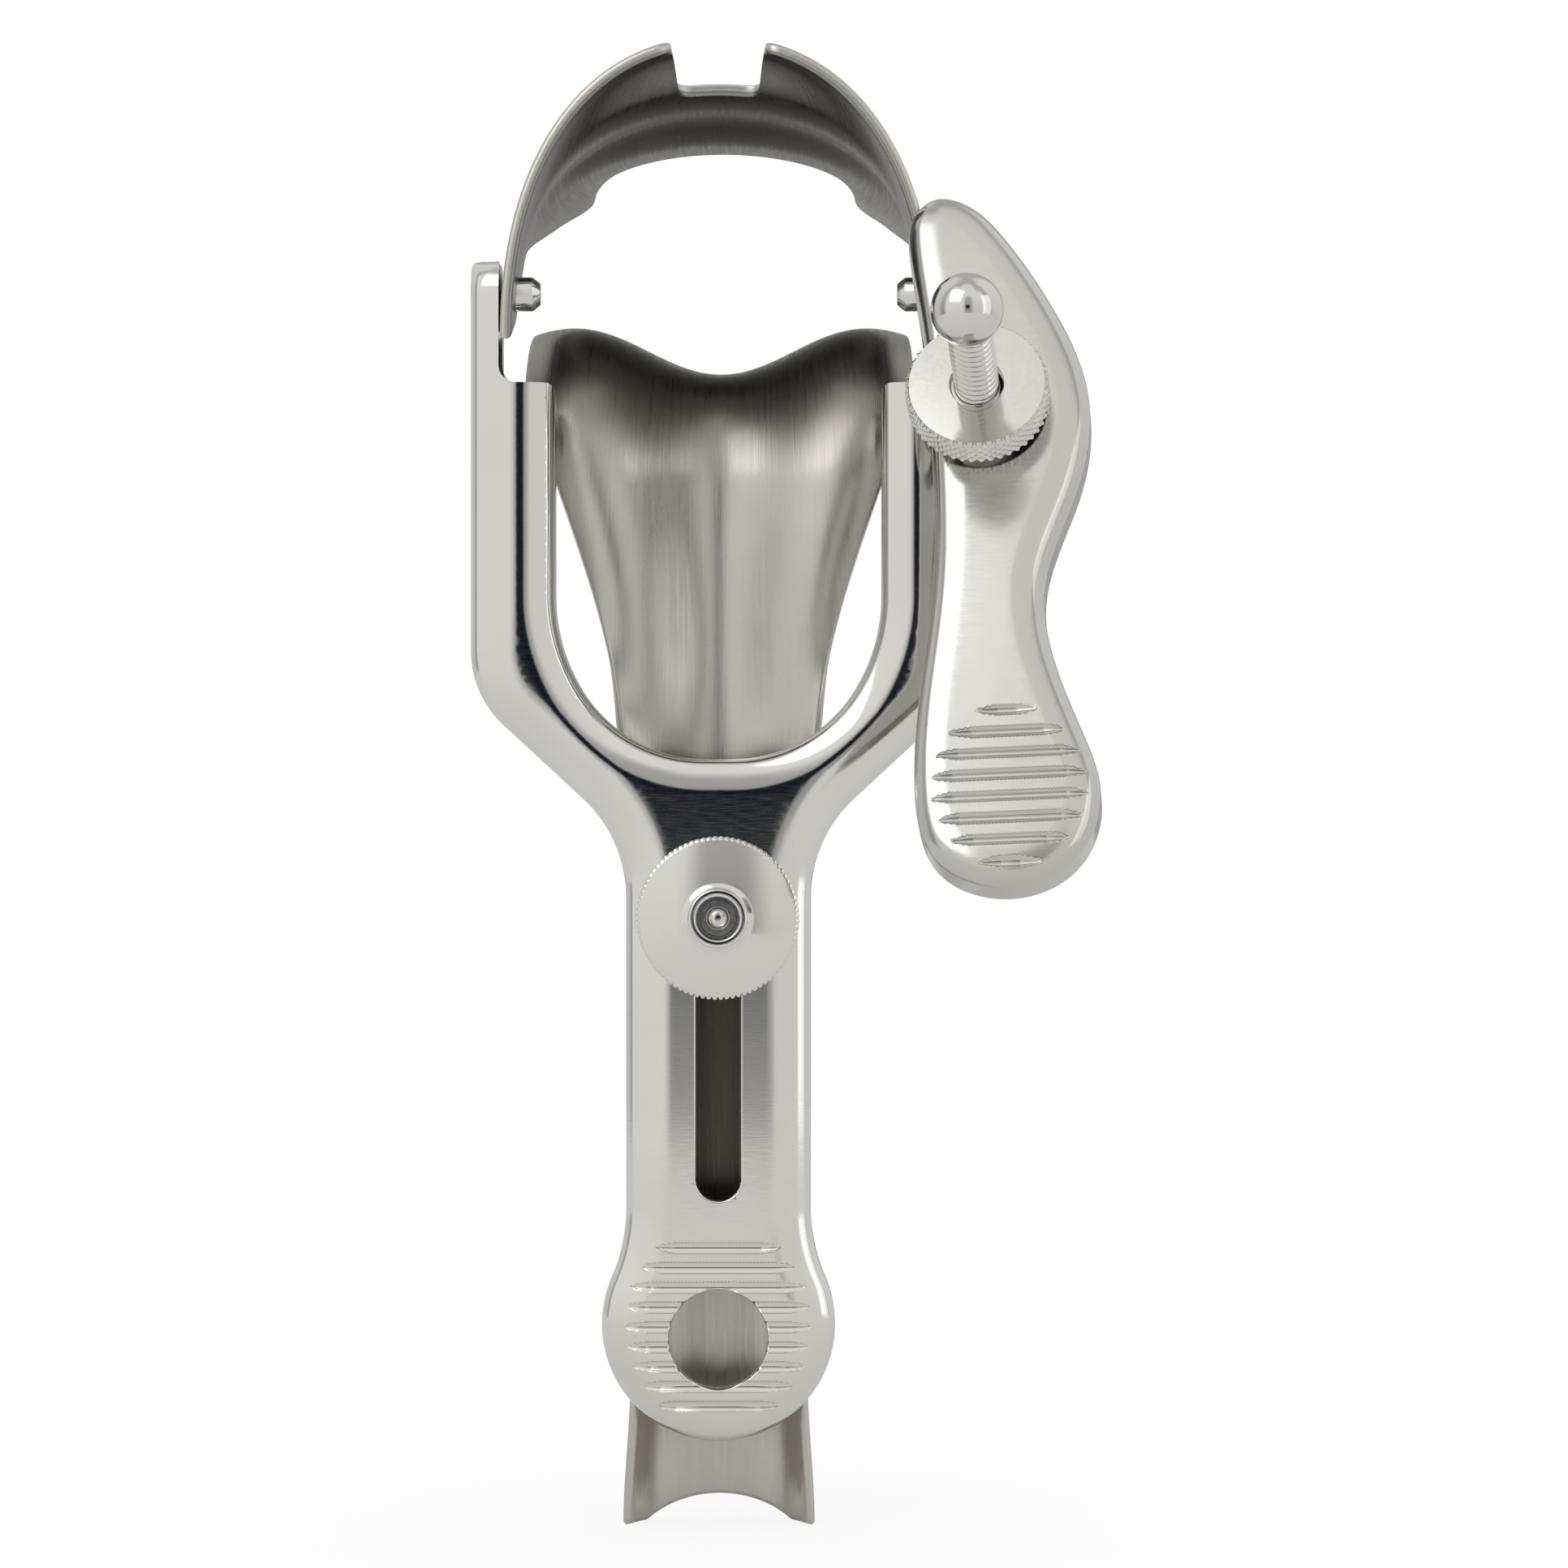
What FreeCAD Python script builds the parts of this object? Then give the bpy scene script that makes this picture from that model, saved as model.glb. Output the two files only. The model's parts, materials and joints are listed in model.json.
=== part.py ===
# A two-bladed surgical speculum: a fixed lower blade on a channel handle, a front yoke that slides
# on that handle, and an upper blade that pivots in the yoke's ears and is opened by a thumb lever.
# Millimetres. +Z runs up the handle, +Y along the blades, away from the user. The origin is the
# middle of the round hole in the yoke's foot, on the front face. The upper blade stands part open.

import FreeCAD
import Part
import math
import os
from FreeCAD import Vector

# Sheet and running fits
SHEET = 1.5              # wall of the pressed yoke and lever
BLADE_SHEET = 1.3        # wall of both blades
RUNNING_GAP = 0.06       # radial clearance of a pin or thread that turns or slides
SIDE_GAP = 0.3           # sideways clearance between parts that swing past each other

# Yoke, seen from the front
HANDLE_HALF_WIDTH = 10.3
HANDLE_TOP = 51.0        # height where the handle starts to spread into the arms
FOOT_RADIUS = 13.0
FOOT_CENTRE_Z = 1.4
FOOT_NECK_RADIUS = 20.0  # hollow curve from the straight handle into the round foot
HOLE_RADIUS = 5.5
ARM_OUTER = 27.6         # half the width over the arms
ARM_INNER = 18.2         # half the width of the U-shaped opening
ARM_TOP = 106.2
OPENING_BOTTOM = 64.4
SHOULDER_Z = 71.5        # height of the outer shoulder
YOKE_DEPTH = 5.2         # how far the pressed edges reach back
EDGE_ROUND = 2.9         # rounding of the pressed front edges
EAR_THICKNESS = 3.2
EAR_BACK = 10.5          # how far the ears reach back
SLOT_HALF_WIDTH = 2.5
SLOT_TRAVEL = 29.0       # how far the yoke can rise on the stud

# Hinge of the upper blade
HINGE_Y = 5.5
HINGE_Z = 116.5
PIN_RADIUS = 1.9
PIN_INNER_STUB = 2.8     # how far a pin stands proud inside the collar
EAR_TOP_ROUND = 3.5

# Finger ribs pressed into the foot and the lever's pad
RIB_PITCH = 2.2
PAD_RIB_PITCH = 2.45
RIB_DEPTH = 0.45
RIB_HALF_WIDTH = 0.42
FOOT_RIBS = 9
PAD_RIBS = 8

# Lower blade and its handle strap
STRAP_BOTTOM = -21.5
STRAP_HALF_WIDTH = HANDLE_HALF_WIDTH - BLADE_SHEET
STRAP_LIP = 5.0          # how far the strap's edges come forward
STRAP_END_HALF_WIDTH = 9.8
STRAP_END_HOLLOW = 2.7   # how far the strap's lower end is hollowed in the middle
STRAP_END_RADIUS = 13.0
SLIDE_GAP = 0.3          # between the strap's edges and the yoke's
SADDLE_RADIUS = 14.0     # bend from the strap into the blade
SADDLE_TOP = 109.2       # highest point of the bend, in the middle of the trough
SADDLE_HALF_WIDTH = 22.2
SADDLE_LIP = 5.3
STRAP_WEB_Y = YOKE_DEPTH + SLIDE_GAP + max(STRAP_LIP, SADDLE_LIP)
LOWER_BLADE_LENGTH = 108.0
LOWER_BLADE_HALF_WIDTH = 18.0
LOWER_BLADE_DEPTH = 8.6

# Upper blade and its collar
OPEN_ANGLE = 16.0        # how far the blade stands open, in degrees
CLOSED_GAP = 0.5         # between the two blades' edges when shut
COLLAR_HEIGHT = 33.4     # from the ends of the collar's legs to its rim
COLLAR_FRONT_Y = -3.5
COLLAR_LEG_BELOW_HINGE = 3.4
NOTCH_WIDTH = 8.6
NOTCH_DEPTH = 9.0
NOTCH_ROUND = 1.6
UPPER_BLADE_LENGTH = 104.0
UPPER_BLADE_HALF_WIDTH = 17.4
UPPER_BLADE_DEPTH = 8.8
UPPER_TIP_DEPTH = 7.0
COLLAR_NECK = 56.0       # distance over which the collar falls to the blade

# Thumb lever
LEVER_TILT = 25.0        # the lever's pad stands forward of its root, in degrees
LEVER_YAW = 6.0          # the lever's outer edge stands forward of its inner edge, in degrees
LEVER_DEPTH = 5.4
LEVER_EDGE_ROUND = 2.6
LEVER_ROOT_X = 21.6
LEVER_TOP_Y = -3.6
LEVER_TOP_Z = 126.8
LEVER_WIDTH = 18.4       # across the shoulder
WAIST = 12.0
WAIST_X = 28.8
PAD_X = 30.1
PAD_Z = 54.4
PAD_RADIUS = 9.8
LEVER_SLOT_HALF_WIDTH = 3.2
LEVER_SLOT_BELOW = 3.4   # the slot's lower end centre, below the screw
LEVER_SLOT_ABOVE = 4.2

# Clamp on the handle
STUD_RADIUS = 2.0
STUD_Z = 46.8
CLAMP_NUT_RADIUS = 9.0
CLAMP_NUT_THICKNESS = 4.2
CLAMP_NUT_CROWN = 1.1    # how far the nut's front face is domed
CLAMP_NUT_TEETH = 48
CLAMP_KNURL_DEPTH = 0.16

STUD_COLLAR_RADIUS = 3.4
CLAMP_NUT_GAP = 0.05     # between the nut and the yoke
CLAMP_BOSS_RADIUS = 3.3
CLAMP_RECESS_RADIUS = 2.4

# Swivel screw that holds the lever
BRACKET_EAR = 1.3
BRACKET_BACK = 1.6
BRACKET_LENGTH = 9.0
BRACKET_HALF_HEIGHT = 3.8
EYE_SIDE_GAP = 0.2
SCREW_RADIUS = 2.4
SCREW_NECK_RADIUS = 1.6
SCREW_EYE_RADIUS = 2.9
SCREW_EYE_THICKNESS = 3.0
SCREW_LENGTH = 42.0      # from the cross pin to the middle of the ball
SCREW_X = ARM_OUTER + BRACKET_EAR + EYE_SIDE_GAP + SCREW_EYE_THICKNESS / 2
SCREW_PIVOT_Y = 4.0
SCREW_PIVOT_Z = 93.0
BALL_RADIUS = 3.8
LEVER_NUT_RADIUS = 7.7
LEVER_NUT_THICKNESS = 4.0
LEVER_NUT_GAP = 0.8      # between the nut and the lever
LEVER_NUT_TEETH = 32
LEVER_KNURL_DEPTH = 0.3
CROSS_PIN_RADIUS = 1.2

X_AXIS = Vector(1, 0, 0)
Y_AXIS = Vector(0, 1, 0)
Z_AXIS = Vector(0, 0, 1)
FAR = 200.0
ROW_SPACING = 4.5        # between the rows that shape a sheet
HALF_ROW = 9             # points from the middle to the edge of a sheet section


def turned(shape, angle, y, z):
    """Copy of a shape turned about the X direction through (y, z)."""
    copy = shape.copy()
    copy.rotate(Vector(0, y, z), X_AXIS, angle)
    return copy


def rounded_outline(corners):
    """Closed outline in the XZ plane through corners (x, z, radius), each rounded by an arc."""
    count = len(corners)
    starts, middles, ends = [], [], []
    for i in range(count):
        x, z, radius = corners[i]
        here = Vector(x, 0, z)
        before = Vector(corners[i - 1][0], 0, corners[i - 1][1]) - here
        after = Vector(corners[(i + 1) % count][0], 0, corners[(i + 1) % count][1]) - here
        before.normalize()
        after.normalize()
        half = before.getAngle(after) / 2
        reach = radius / math.tan(half)
        middle = before + after
        middle.normalize()
        starts.append(here + before * reach)
        ends.append(here + after * reach)
        middles.append(here + middle * (radius / math.sin(half) - radius))
    edges = []
    for i in range(count):
        if corners[i][2] > 0:
            edges.append(Part.Arc(starts[i], middles[i], ends[i]).toShape())
        following = starts[(i + 1) % count]
        if (following - ends[i]).Length > 1e-6:
            edges.append(Part.LineSegment(ends[i], following).toShape())
    return Part.Wire(edges)


def pressed_plate(outline, inside, depth, wall, edge_round):
    """Sheet pressed over a former: front face at Y = 0, rounded edges and an open back.

    The inside is the outline of the hollow at the back, one wall in from the outline.
    """
    block = Part.Face(outline).extrude(Vector(0, depth, 0))
    front = [e for e in block.Edges if abs(e.BoundBox.YMin) < 1e-6 and abs(e.BoundBox.YMax) < 1e-6]
    block = block.makeFillet(edge_round, front)
    pocket = Part.Face(inside).extrude(Vector(0, depth, 0))
    pocket.translate(Vector(0, wall, 0))
    return block.cut(pocket)


def stadium(half_width, low, high):
    """Outline in the XZ plane of a slot with round ends, between two end centres on X = 0."""
    left_low = Vector(-half_width, 0, low)
    right_low = Vector(half_width, 0, low)
    left_high = Vector(-half_width, 0, high)
    right_high = Vector(half_width, 0, high)
    return Part.Wire([
        Part.Arc(left_low, Vector(0, 0, low - half_width), right_low).toShape(),
        Part.LineSegment(right_low, right_high).toShape(),
        Part.Arc(right_high, Vector(0, 0, high + half_width), left_high).toShape(),
        Part.LineSegment(left_high, left_low).toShape(),
    ])


def slot_cutter(half_width, low, high, x=0.0):
    """Prism through the plate that cuts such a slot at x."""
    cutter = Part.Face(stadium(half_width, low, high)).extrude(Vector(0, 2 * FAR, 0))
    cutter.translate(Vector(x, -FAR, 0))
    return cutter


def rib_cutters(centre_x, centre_z, radius, margin, count, pitch):
    """Grooves across a round pad, each as long as the pad is wide there less a margin.

    The pattern ends where the pad is too narrow for one more groove.
    """
    grooves = []
    for i in range(count):
        z = centre_z + (i - (count - 1) / 2) * pitch
        half = math.sqrt(max(radius ** 2 - (z - centre_z) ** 2, 0)) - margin
        if half < RIB_HALF_WIDTH:
            continue
        groove = Part.makeCylinder(RIB_HALF_WIDTH * 2, 2 * half, Vector(centre_x - half, 0, z), X_AXIS)
        groove.translate(Vector(0, RIB_DEPTH - RIB_HALF_WIDTH * 2, 0))
        grooves.append(groove)
    return grooves


def mirrored_outline(half):
    """Whole outline from its right half, listed from the middle top round to the middle bottom."""
    left = [(-x, z, radius) for x, z, radius in reversed(half)]
    return rounded_outline(half + left)


def yoke_outline():
    """Front view of the yoke: arms round the U-shaped opening, shoulders, handle and round foot."""
    arm = ARM_OUTER - ARM_INNER
    half = [
        (0.58 * ARM_INNER, OPENING_BOTTOM, 16.0),
        (ARM_INNER, OPENING_BOTTOM + 12.6, 20.0),
        (ARM_INNER, ARM_TOP, 0.34 * arm),
        (ARM_OUTER, ARM_TOP, 0.34 * arm),
        (ARM_OUTER, SHOULDER_Z, 11.5),
        (HANDLE_HALF_WIDTH, HANDLE_TOP + 4.5, 15.0),
    ]
    return mirrored_outline(half + foot_corners())


def foot_corners():
    """Corners of the round foot's right half, whose roundings all lie on the foot's circle.

    The first is the hollow corner where the tangent at the top angle meets the handle's side.
    """
    across = (HANDLE_HALF_WIDTH + FOOT_NECK_RADIUS) / (FOOT_RADIUS + FOOT_NECK_RADIUS)
    top = math.acos(across)
    neck_z = FOOT_CENTRE_Z + (FOOT_RADIUS - HANDLE_HALF_WIDTH * across) / math.sin(top)
    corners = [(HANDLE_HALF_WIDTH, neck_z, FOOT_NECK_RADIUS)]
    turns = 3
    step = (top + math.pi / 2) / turns
    reach = FOOT_RADIUS / math.cos(step / 2)
    for i in range(turns):
        angle = top - step * (i + 0.5)
        corners.append((reach * math.cos(angle), FOOT_CENTRE_Z + reach * math.sin(angle), FOOT_RADIUS))
    return corners


def yoke_ear(side):
    """Upright ear on one arm, with a round top and the hole for its pivot pin."""
    inner = ARM_OUTER - EAR_THICKNESS
    low_z = ARM_TOP - 10.0
    top_z = HINGE_Z + EAR_TOP_ROUND
    face = Part.Wire(Part.makePolygon([
        Vector(inner, SHEET, low_z), Vector(inner, YOKE_DEPTH, low_z),
        Vector(inner, EAR_BACK, ARM_TOP), Vector(inner, EAR_BACK, top_z),
        Vector(inner, SHEET / 2, top_z), Vector(inner, SHEET / 2, ARM_TOP - 3.0),
        Vector(inner, SHEET, low_z)]))
    ear = Part.Face(face).extrude(Vector(EAR_THICKNESS, 0, 0))
    corners = [e for e in ear.Edges
               if e.BoundBox.XLength > EAR_THICKNESS / 2 and e.BoundBox.ZMin > top_z - 0.1]
    ear = ear.makeFillet(EAR_TOP_ROUND, corners)
    fronts = [e for e in ear.Edges if e.BoundBox.XMin > ARM_OUTER - 0.01 and e.BoundBox.YMin < SHEET]
    ear = ear.makeFillet(0.9, fronts)
    ear = ear.cut(Part.makeCylinder(PIN_RADIUS, FAR, Vector(0, HINGE_Y, HINGE_Z), X_AXIS))
    if side < 0:
        ear = ear.mirror(Vector(0, 0, 0), X_AXIS)
    return ear


def make_yoke():
    outline = yoke_outline()
    inside = Part.Wire(outline.makeOffset2D(-SHEET).Edges)
    plate = pressed_plate(outline, inside, YOKE_DEPTH, SHEET, EDGE_ROUND)
    plate = plate.cut(slot_cutter(SLOT_HALF_WIDTH, STUD_Z - SLOT_TRAVEL, STUD_Z))
    plate = plate.cut(Part.makeCylinder(HOLE_RADIUS, 2 * FAR, Vector(0, -FAR, 0), Y_AXIS))
    plate = plate.cut(rib_cutters(0, FOOT_CENTRE_Z, FOOT_RADIUS, EDGE_ROUND, FOOT_RIBS, RIB_PITCH))
    return plate.fuse([yoke_ear(1), yoke_ear(-1)]).removeSplitter()


def make_pivot_pin(side):
    """Stub pin pressed into an ear, with its round inner end standing proud inside the collar."""
    inner = collar_half_width() - BLADE_SHEET - PIN_INNER_STUB
    radius = PIN_RADIUS
    profile = Part.makePolygon([
        Vector(inner, 0, 0), Vector(inner, 0, 0.72 * radius),
        Vector(inner + 0.5, 0, radius), Vector(ARM_OUTER - 0.3, 0, radius),
        Vector(ARM_OUTER, 0, radius - 0.3), Vector(ARM_OUTER, 0, 0), Vector(inner, 0, 0)])
    pin = Part.Face(Part.Wire(profile)).revolve(Vector(0, 0, 0), X_AXIS, 360)
    pin.translate(Vector(0, HINGE_Y, HINGE_Z))
    if side < 0:
        pin = pin.mirror(Vector(0, 0, 0), X_AXIS)
    return pin


def sheet_solid(rows):
    """Solid sheet between the smooth surfaces through rows of (inner points, outer points)."""
    inner, outer = Part.BSplineSurface(), Part.BSplineSurface()
    inner.interpolate([row[0] for row in rows])
    outer.interpolate([row[1] for row in rows])
    low_u, high_u, low_v, high_v = inner.bounds()
    rims = [(inner.uIso(low_u), outer.uIso(low_u)), (inner.uIso(high_u), outer.uIso(high_u)),
            (inner.vIso(low_v), outer.vIso(low_v)), (inner.vIso(high_v), outer.vIso(high_v))]
    faces = [inner.toShape(), outer.toShape()]
    faces += [Part.makeRuledSurface(a.toShape(), b.toShape()) for a, b in rims]
    skin = Part.makeCompound(faces)
    skin.sewShape()
    solid = Part.makeSolid(skin.Shells[0])
    if solid.Volume < 0:
        solid.reverse()
    return solid


def trough_row(centre, up, half_width, depth, power, roll, wall):
    """Inner and outer points across a sheet trough, in the plane of X and up.

    The sheet's inner face has height depth * u^power at u half-widths from the middle. A roll
    above 0 blends that into depth * sin(120 degrees * u)^2, whose edges turn down again.
    """
    inner_points, outer_points = [], []
    for i in range(-HALF_ROW, HALF_ROW + 1):
        u = math.sin(math.pi / 2 * i / HALF_ROW)
        angle = math.radians(120) * abs(u)
        sign = 1 if u >= 0 else -1
        height = (1 - roll) * abs(u) ** power + roll * math.sin(angle) ** 2
        slope = (1 - roll) * power * abs(u) ** (power - 1)
        slope += roll * math.radians(120) * math.sin(2 * angle)
        slope *= sign * depth / half_width
        height = height * depth
        length = math.hypot(1, slope)
        x = half_width * u
        inner = centre + X_AXIS * x + up * height
        inner_points.append(inner)
        outer_points.append(inner + X_AXIS * (wall * slope / length) - up * (wall / length))
    return inner_points, outer_points


def through(stations, place):
    """Smooth value at a place along (place, value) stations, with no overshoot between them."""
    if place <= stations[0][0]:
        return stations[0][1]
    for i in range(len(stations) - 1):
        (start, low), (end, high) = stations[i], stations[i + 1]
        if place <= end:
            break
    else:
        return stations[-1][1]
    rise = (high - low) / (end - start)
    slopes = []
    for j in (i, i + 1):
        if j == 0 or j == len(stations) - 1:
            slopes.append(0.0)
            continue
        before = (stations[j][1] - stations[j - 1][1]) / (stations[j][0] - stations[j - 1][0])
        after = (stations[j + 1][1] - stations[j][1]) / (stations[j + 1][0] - stations[j][0])
        slopes.append(2 * before * after / (before + after) if before * after > 0 else 0.0)
    t = (place - start) / (end - start)
    span = end - start
    return (low * (1 + 2 * t) * (1 - t) ** 2 + slopes[0] * span * t * (1 - t) ** 2
            + high * t * t * (3 - 2 * t) - slopes[1] * span * t * t * (1 - t))


def even_steps(length):
    """Places from 0 to a length, about one row spacing apart and all equally far apart."""
    count = round(length / ROW_SPACING)
    return [length * i / count for i in range(count + 1)]


def lower_blade_row(along):
    """Row of the lower blade at a distance along its middle line from the strap's bottom end."""
    bend_start = SADDLE_TOP - SADDLE_RADIUS - STRAP_BOTTOM
    bend_end = bend_start + SADDLE_RADIUS * math.pi / 2
    end = bend_end + LOWER_BLADE_LENGTH - SADDLE_RADIUS
    handle_end = HANDLE_TOP - STRAP_BOTTOM
    spread = bend_start - handle_end
    half_width = through((
        (0, STRAP_END_HALF_WIDTH), (0.23 * handle_end, STRAP_HALF_WIDTH), (handle_end, STRAP_HALF_WIDTH),
        (handle_end + 0.43 * spread, STRAP_HALF_WIDTH + 0.17 * (SADDLE_HALF_WIDTH - STRAP_HALF_WIDTH)),
        (bend_start, STRAP_HALF_WIDTH + 0.72 * (SADDLE_HALF_WIDTH - STRAP_HALF_WIDTH)),
        (bend_start + 0.6 * SADDLE_RADIUS, SADDLE_HALF_WIDTH),
        (bend_end + 0.2 * SADDLE_RADIUS, SADDLE_HALF_WIDTH - 0.6),
        (bend_end + 0.4 * LOWER_BLADE_LENGTH, LOWER_BLADE_HALF_WIDTH), (end, LOWER_BLADE_HALF_WIDTH)), along)
    lip = through((
        (0, STRAP_LIP), (handle_end, STRAP_LIP), (bend_start, SADDLE_LIP),
        (bend_end, SADDLE_LIP + 0.4), (bend_end + 0.33 * LOWER_BLADE_LENGTH, LOWER_BLADE_DEPTH)), along)
    roll = through(((handle_end, 0), (bend_start - 4, 1), (bend_start + 12, 1), (bend_end + 30, 0)), along)
    power = through(((handle_end, 5.0), (bend_start, 2.4)), along)
    turn = min(max((along - bend_start) / SADDLE_RADIUS, 0), math.pi / 2)
    up = Vector(0, -math.cos(turn), math.sin(turn))
    centre = Vector(0, STRAP_WEB_Y + SADDLE_RADIUS, SADDLE_TOP - SADDLE_RADIUS) + up * SADDLE_RADIUS
    centre += Vector(0, max(along - bend_end, 0), min(along - bend_start, 0))
    return trough_row(centre, up, half_width, lip, power, roll, BLADE_SHEET)


def make_lower_blade():
    """Strap, saddle and blade as one sheet, with a rounded tip and the stud's hole."""
    length = SADDLE_TOP - SADDLE_RADIUS - STRAP_BOTTOM
    length += SADDLE_RADIUS * math.pi / 2 + LOWER_BLADE_LENGTH - SADDLE_RADIUS
    blade = sheet_solid([lower_blade_row(along) for along in even_steps(length)])
    blade = blade.common(tip_trimmer(STRAP_WEB_Y + LOWER_BLADE_LENGTH, LOWER_BLADE_HALF_WIDTH))
    hollow_z = STRAP_BOTTOM + STRAP_END_HOLLOW - STRAP_END_RADIUS
    blade = blade.cut(Part.makeCylinder(STRAP_END_RADIUS, FAR, Vector(0, 0, hollow_z), Y_AXIS))
    return blade.cut(Part.makeCylinder(STUD_RADIUS, FAR, Vector(0, 0, STUD_Z), Y_AXIS))


def tip_trimmer(tip_y, half_width):
    """Upright prism with an elliptical end that rounds a blade's tip, seen from above."""
    reach = 1.15 * half_width
    wide = half_width + 1.5
    start_y = tip_y - reach
    ellipse = Part.Ellipse(Vector(0, tip_y, 0), Vector(wide, start_y, 0), Vector(0, start_y, 0))
    end = Part.ArcOfEllipse(ellipse, -math.pi / 2, math.pi / 2).toShape()
    first = end.Vertexes[0].Point
    last = end.Vertexes[-1].Point
    wide_back = 2 * wide
    back = Part.makePolygon([
        last, Vector(math.copysign(wide_back, last.x), start_y - 10, 0),
        Vector(math.copysign(wide_back, last.x), -FAR, 0),
        Vector(math.copysign(wide_back, first.x), -FAR, 0),
        Vector(math.copysign(wide_back, first.x), start_y - 10, 0), first])
    outline = Part.Wire([end] + back.Edges)
    prism = Part.Face(outline).extrude(Vector(0, 0, 2 * FAR))
    prism.translate(Vector(0, 0, -FAR))
    return prism


def collar_half_width():
    """Half the collar's outside width at the hinge, clear of the yoke's ears."""
    return ARM_OUTER - EAR_THICKNESS - SIDE_GAP


def upper_blade_row(along):
    """Row of the shut upper blade at a distance along the blades from the collar's front rim."""
    rim_z = HINGE_Z - COLLAR_LEG_BELOW_HINGE
    edge_z = SADDLE_TOP + LOWER_BLADE_DEPTH + CLOSED_GAP
    fall = COLLAR_HEIGHT - UPPER_BLADE_DEPTH
    neck = COLLAR_NECK
    half_width = through((
        (0, collar_half_width()), (0.46 * neck, collar_half_width() - 0.5),
        (0.79 * neck, 0.5 * (collar_half_width() + UPPER_BLADE_HALF_WIDTH)),
        (1.14 * neck, UPPER_BLADE_HALF_WIDTH), (UPPER_BLADE_LENGTH, UPPER_BLADE_HALF_WIDTH)), along)
    height = through((
        (0, COLLAR_HEIGHT), (0.14 * neck, COLLAR_HEIGHT - 0.24 * fall),
        (0.36 * neck, COLLAR_HEIGHT - 0.59 * fall), (0.6 * neck, COLLAR_HEIGHT - 0.85 * fall),
        (neck, UPPER_BLADE_DEPTH), (UPPER_BLADE_LENGTH, UPPER_TIP_DEPTH)), along)
    tilt = math.radians(through(((0, OPEN_ANGLE), (0.7 * neck, 0)), along))
    base_z = through(((0.11 * neck, rim_z), (0.46 * neck, edge_z)), along)
    squareness = through(((0, 2.2), (0.7 * neck, 2.0)), along)
    up = Vector(0, math.sin(tilt), math.cos(tilt))
    centre = Vector(0, COLLAR_FRONT_Y + along, base_z)
    return arch_row(centre, up, half_width, height, squareness, BLADE_SHEET)


def make_upper_blade():
    """Collar and blade as one sheet, shaped shut and then opened about the hinge."""
    blade = sheet_solid([upper_blade_row(along) for along in even_steps(UPPER_BLADE_LENGTH)])
    blade = blade.common(tip_trimmer(COLLAR_FRONT_Y + UPPER_BLADE_LENGTH, UPPER_BLADE_HALF_WIDTH))
    blade = turned(blade, OPEN_ANGLE, HINGE_Y, HINGE_Z)
    notch = Part.makeBox(NOTCH_WIDTH, 2 * NOTCH_DEPTH, FAR,
                         Vector(-NOTCH_WIDTH / 2, blade.BoundBox.YMin - NOTCH_DEPTH, HINGE_Z + 5))
    corners = [e for e in notch.Edges
               if e.BoundBox.ZLength > NOTCH_DEPTH and e.BoundBox.YMin > blade.BoundBox.YMin]
    notch = notch.makeFillet(NOTCH_ROUND, corners)
    blade = blade.cut(notch)
    hole = PIN_RADIUS + RUNNING_GAP
    return blade.cut(Part.makeCylinder(hole, FAR, Vector(-FAR / 2, HINGE_Y, HINGE_Z), X_AXIS))


def arch_row(centre, up, half_width, height, squareness, wall):
    """Inner and outer points round a sheet arch.

    Both lines are half superellipses on one centre: across = width * cos(a)^(2 / squareness),
    up = height * sin(a)^(2 / squareness).
    """
    inner_points, outer_points = [], []
    for i in range(2 * HALF_ROW + 1):
        angle = math.pi * i / (2 * HALF_ROW)
        across = X_AXIS * math.copysign(abs(math.cos(angle)) ** (2 / squareness), math.cos(angle))
        rise = up * max(math.sin(angle), 0.0) ** (2 / squareness)
        inner_points.append(centre + across * (half_width - wall) + rise * (height - wall))
        outer_points.append(centre + across * half_width + rise * height)
    return inner_points, outer_points


def smooth_outline(points, inset=0.0):
    """Closed smooth curve in the XZ plane through the points (x, z), or the curve inside it."""
    curve = Part.BSplineCurve()
    curve.interpolate([Vector(x, 0, z) for x, z in points], PeriodicFlag=True)
    if inset:
        samples = 3 * len(points)
        step = (curve.LastParameter - curve.FirstParameter) / samples
        inner_points = []
        for i in range(samples):
            here = curve.value(curve.FirstParameter + i * step)
            along = curve.tangent(curve.FirstParameter + i * step)[0]
            inner_points.append(here + Vector(along.z, 0, -along.x) * inset)
        curve = Part.BSplineCurve()
        curve.interpolate(inner_points, PeriodicFlag=True)
    return Part.Wire([curve.toShape()])


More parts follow.
